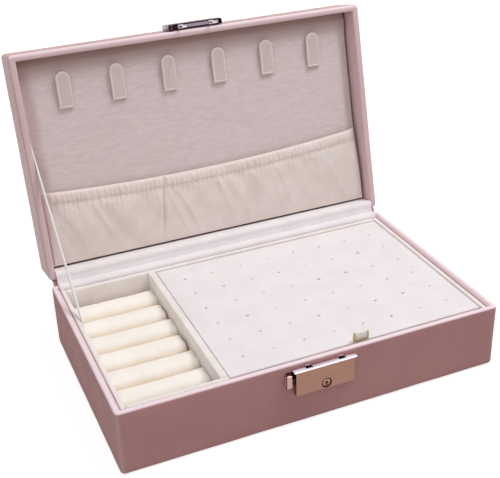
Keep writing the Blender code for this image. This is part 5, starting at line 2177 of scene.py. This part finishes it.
    def on_key(self, name: str, near: float, far: float, radius: float, up: float = 0.0,
               sides: int = 48) -> Workpiece:
        """A rod along the key's axis, from one y to another."""
        middle = (self.key.x, (near + far) / 2, self.key.z + up)
        return Workpiece.rod(name, middle, "Y", radius, far - near, sides)

    def key_plug(self) -> None:
        """Plug with a keyhole, standing in a dark cup of painted shade, with a bright crescent that is a
        painted highlight.
        """
        face, back = (corner.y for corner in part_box("key_cylinder"))
        radius, barrel = self.plug_radius, self.plug_barrel
        near, step = face + 0.1 * MM, face + self.plug_deep
        plug = self.on_key("key_plug", near, step, radius)
        plug.round_edges(self.plug_edge, 3, 40)
        with plug.shaping():
            plug.pick_faces(lambda centre, normal: normal.y > 0.99)
            plug.inset(radius - self.plug_edge - barrel)
            plug.extrude((0, back - step, 0))
        hole = self.on_key("hole", face - 2 * MM, face + 2 * MM, self.pin_hole, self.pin_up, 24)
        low = (self.key.x - self.way_half, face - MM, self.key.z - self.way_down)
        way = Workpiece.block("way", low, (self.key.x + self.way_half, step - 0.15 * MM, self.key.z))
        plug.cut(hole, way)
        plug.finish(Body.KEY, Slot.PLATED, ["key_cylinder"], angle=30)
        self.crescent(face)
        near = face + 0.3 * MM
        # Painted shade: the dark cup round the plug
        cup = self.on_key("key_cup", near, step, self.key_radius - 0.05 * MM)
        cup.cut(self.on_key("bore", near - 2 * MM, near + 2 * MM, radius + 0.1 * MM))
        cup.finish(Body.BASE, Slot.PLATED, look=Look.DARK, angle=30)

    def crescent(self, face: float) -> None:
        """Raised bright arc over the keyhole, a painted highlight on the plug.

        Args:
            face: the y of the key cylinder's face.
        """
        radius = self.arc_share * self.plug_radius
        arc = self.on_key("key_arc", face - 0.1 * MM, face + 0.2 * MM, radius)
        arc.cut(self.on_key("bite", face - MM, face + MM, radius, -self.bite_down))
        arc.round_edges(0.1 * MM, 2, 40)
        # Painted highlight on the plug
        arc.finish(Body.KEY, Slot.BRIGHT, look=Look.ROSY, angle=30)

    def coil(self) -> None:
        """The wire spring that pushes the bar back."""
        low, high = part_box("lock_spring")
        middle = (low + high) / 2
        rows = 24 * self.coil_turns
        coil = Workpiece.grid("lock_coil_spring", 8, rows)
        share = coil.points()
        along = np.clip(share[:, 1], 1 / rows, 1 - 1 / rows)
        capped = (share[:, 1] > 0.5 / rows) & (share[:, 1] < 1 - 0.5 / rows)
        half = self.coil_wire / 2
        turn, around = 2 * math.pi * self.coil_turns * along, 2 * math.pi * share[:, 0]
        reach = (high.y - low.y) / 2 - half + half * capped * np.cos(around)
        x = low.x + half + (high.x - low.x - self.coil_wire) * along + half * capped * np.sin(around)
        y, z = middle.y + reach * np.cos(turn), middle.z + reach * np.sin(turn)
        coil.move_points(np.stack([x, y, z], 1))
        with coil.shaping():
            bpy.ops.mesh.select_all(action="SELECT")
            bpy.ops.mesh.remove_doubles(threshold=0.005 * MM)
            bpy.ops.mesh.normals_make_consistent(inside=False)
        coil.finish(Body.BASE, Slot.BRIGHT, ["lock_spring"], angle=60)
        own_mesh(coil.thing)

    def build(self) -> None:
        """Make every piece of the lock."""
        self.cover()
        self.flange()
        self.button()
        self.key_plug()
        self.coil()


@dataclass
class Strike:
    """Strike on the lid's front: an open sheet cover with two hooks in it."""

    sheet: float = 0.7 * MM
    corner: float = 1.3 * MM
    hook_thick: float = 1.3 * MM
    hook_half: float = 1.6 * MM
    hook_shank: float = 1.6 * MM
    pad: float = 1.5 * MM
    pad_stand: float = 0.55 * MM
    pad_high: float = 0.25 * MM
    bar_depth: float = 2.2 * MM
    bar_high: float = 1.1 * MM
    bar_ahead: float = 2.2 * MM
    foot_stand: float = 1.5 * MM
    nose: float = 1.7 * MM
    nose_round: float = 0.8 * MM
    edge: float = 0.2 * MM
    bar_edge: float = 0.3 * MM
    plate_edge: float = 0.15 * MM

    def cover(self) -> None:
        """The cover, rosy outside, with dark steel as painted shade on its inner and lower faces, and lilac
        grey as painted light on its left end and the faces turned to the lid.
        """
        low, high = shut_box("strike_cover")
        cover = Workpiece.block("strike_sheet_cover", low, high)
        with cover.shaping():
            cover.pick_edges(lambda a, b: abs(a.z - b.z) > MM and max(a.y, b.y) < low.y + 0.1 * MM)
            cover.bevel(self.corner, 5)
        inner_low = (low.x + self.sheet, low.y + self.sheet, low.z - MM)
        inner_high = (high.x - self.sheet, high.y - self.sheet, high.z - self.sheet)
        inner = Workpiece.block("inner", inner_low, inner_high)
        with inner.shaping():
            inner.pick_edges(lambda a, b: abs(a.z - b.z) > MM and max(a.y, b.y) < low.y + MM)
            inner.bevel(self.corner - self.sheet * 0.6, 4)
        cover.cut(inner)
        cover.round_edges(self.edge, 2, 40)
        middle = (low + high) / 2
        # Lit and shaded copies of one plated sheet: painted shade inside and below, painted light on the
        # left end
        cover.wear(Slot.PLATED, Look.DARK, Look.LILAC)
        with cover.shaping():
            cover.pick_faces(lambda centre, normal: normal.z < -0.5 or normal.dot(centre - middle) < 0)
            cover.thing.active_material_index = 1
            bpy.ops.object.material_slot_assign()
            cover.pick_faces(lambda centre, normal: centre.x < low.x + 0.8 * self.sheet or normal.y > 0.5)
            cover.thing.active_material_index = 2
            bpy.ops.object.material_slot_assign()
        cover.finish(Body.LID, Slot.PLATED, ["strike_cover"], angle=30)

    def hooks(self) -> None:
        """Plate with a bent foot and two hooks whose noses point to the right."""
        low, high = shut_box("strike_hooks")
        rim = shut_box("lid_shell")[0].z
        foot = rim + self.foot_stand
        middle = (low.y + high.y) / 2
        back, front = middle - self.hook_thick / 2, middle + self.hook_thick / 2
        plate = Workpiece.block("strike_hook_plate", (low.x, back, foot), (high.x, front, high.z))
        plate.round_edges(self.plate_edge, 2, 40)
        # Painted shade: the plate inside the cover is dark steel
        plate.finish(Body.LID, Slot.BRIGHT, ["strike_hooks"], look=Look.DARK, angle=30)
        start = Lock().slots[0] - self.bar_ahead
        face = foot - self.bar_high
        bar = Workpiece.block("strike_foot_bar", (start, middle - self.bar_depth / 2, face),
                              (high.x - MM, middle + self.bar_depth / 2, foot))
        bar.round_edges(self.bar_edge, 3, 40)
        bar.finish(Body.LID, Slot.BRIGHT, look=Look.LILAC, angle=30)
        for number, x in enumerate(Lock().slots, 1):
            self.hook(number, x, low.z, face, (back, front))

    def hook(self, number: int, x: float, tip: float, top: float, faces: Pair) -> None:
        """One hook with a rounded nose, and the bright pad where it is staked through the bar.

        Args:
            number: which hook it is, from the left.
            x: the middle of its slot.
            tip: the z of its lowest point.
            top: the z of the bar's underside.
            faces: the y of its front and back.
        """
        stand = Vector((self.pad, self.pad_stand, self.pad_high))
        low, high = Vector((x, faces[0], top)) - stand, Vector((x, faces[1], top)) + stand
        pad = Workpiece.block(f"strike_hook_pad_{number}", low, high)
        pad.round_edges(self.edge, 2, 40)
        pad.finish(Body.LID, Slot.BRIGHT, angle=30)
        left, shank = x - self.hook_half, self.hook_shank
        hook = Workpiece.block(f"strike_hook_{number}", (left, faces[0], tip), (left + shank, faces[1], top))
        with hook.shaping():
            hook.bisect((0, 0, tip + self.nose), (0, 0, 1))
            hook.pick_faces(lambda centre, normal: normal.x > 0.9 and centre.z < tip + self.nose)
            hook.extrude((2 * self.hook_half - shank, 0, 0))
            hook.pick_edges(lambda a, b: abs(a.y - b.y) > 0.1 * MM and max(a.z, b.z) < tip + 0.1 * MM)
            hook.bevel(self.nose_round, 4)
        hook.round_edges(self.edge, 2, 40)
        hook.finish(Body.LID, Slot.BRIGHT, angle=30)

    def build(self) -> None:
        """Make the cover and what it holds."""
        self.cover()
        self.hooks()


# What stays of the frame's own nodes


# The dark steel of the slide bar, cam and back plate paints the shade in the lock's gaps
KEPT_NODES: dict[str, Slot | Look] = {
    "base_bottom_cover": Slot.LEATHER,
    "slide_bar": Look.DARK,
    "lock_cam": Look.DARK,
    "lock_back_plate": Look.DARK,
    "lock_rivet_1": Slot.BRIGHT,
    "lock_rivet_2": Slot.BRIGHT,
    "strike_rivet_1": Slot.BRIGHT,
    "strike_rivet_2": Slot.BRIGHT,
}


def dress_kept_nodes() -> None:
    """Give the frame's own nodes that stay their materials."""
    for name, look in KEPT_NODES.items():
        materials = frame["nodes"][name].data.materials
        materials.clear()
        materials.append(FINISHES[look])
        LOG.info("%s: kept", name)


def leather_cases() -> list[LeatherCase]:
    """The base's case and the lid's, sized from the frame.

    Returns:
        Both cases, ready to build.
    """
    low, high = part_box("base_shell")
    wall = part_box("liner_left")[0].x - SEAT - low.x
    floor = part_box("liner_floor")[0].z - SEAT - low.z
    lid_low, lid_high = shut_box("lid_shell")
    ceiling = lid_high.z - shut_box("lid_foam")[1].z - SEAT
    return [
        LeatherCase("base_case", "base_shell", Body.BASE, low, high, wall, floor, True,
                    inner_rim=1.6 * MM, inner_steps=1, pale_inside=2.4 * MM),
        # The lid's case paints light on its walls' inner faces and a highlight along its front edge
        LeatherCase("lid_case", "lid_shell", Body.LID, lid_low, lid_high, wall, ceiling, False,
                    Look.LID_LEATHER, rim_wear_and_highlight=0.42, inner_painted_light=0.55, front_edge_highlight=0.9),
    ]


def main() -> None:
    """Build the stage, then every sub-assembly in order."""
    logging.basicConfig(level=logging.INFO, format="%(message)s")
    Stage().build()
    for case in leather_cases():
        case.build()
    CoveredBoards().build()
    RingRolls().build()
    EarringTray().build()
    lining = LidLining()
    lining.build()
    NecklaceTabs().build()
    ElasticPocket(lining).build()
    HingeStrips().build()
    RibbonStay().build()
    Lock().build()
    Strike().build()
    dress_kept_nodes()


if __name__ == "__main__":
    main()
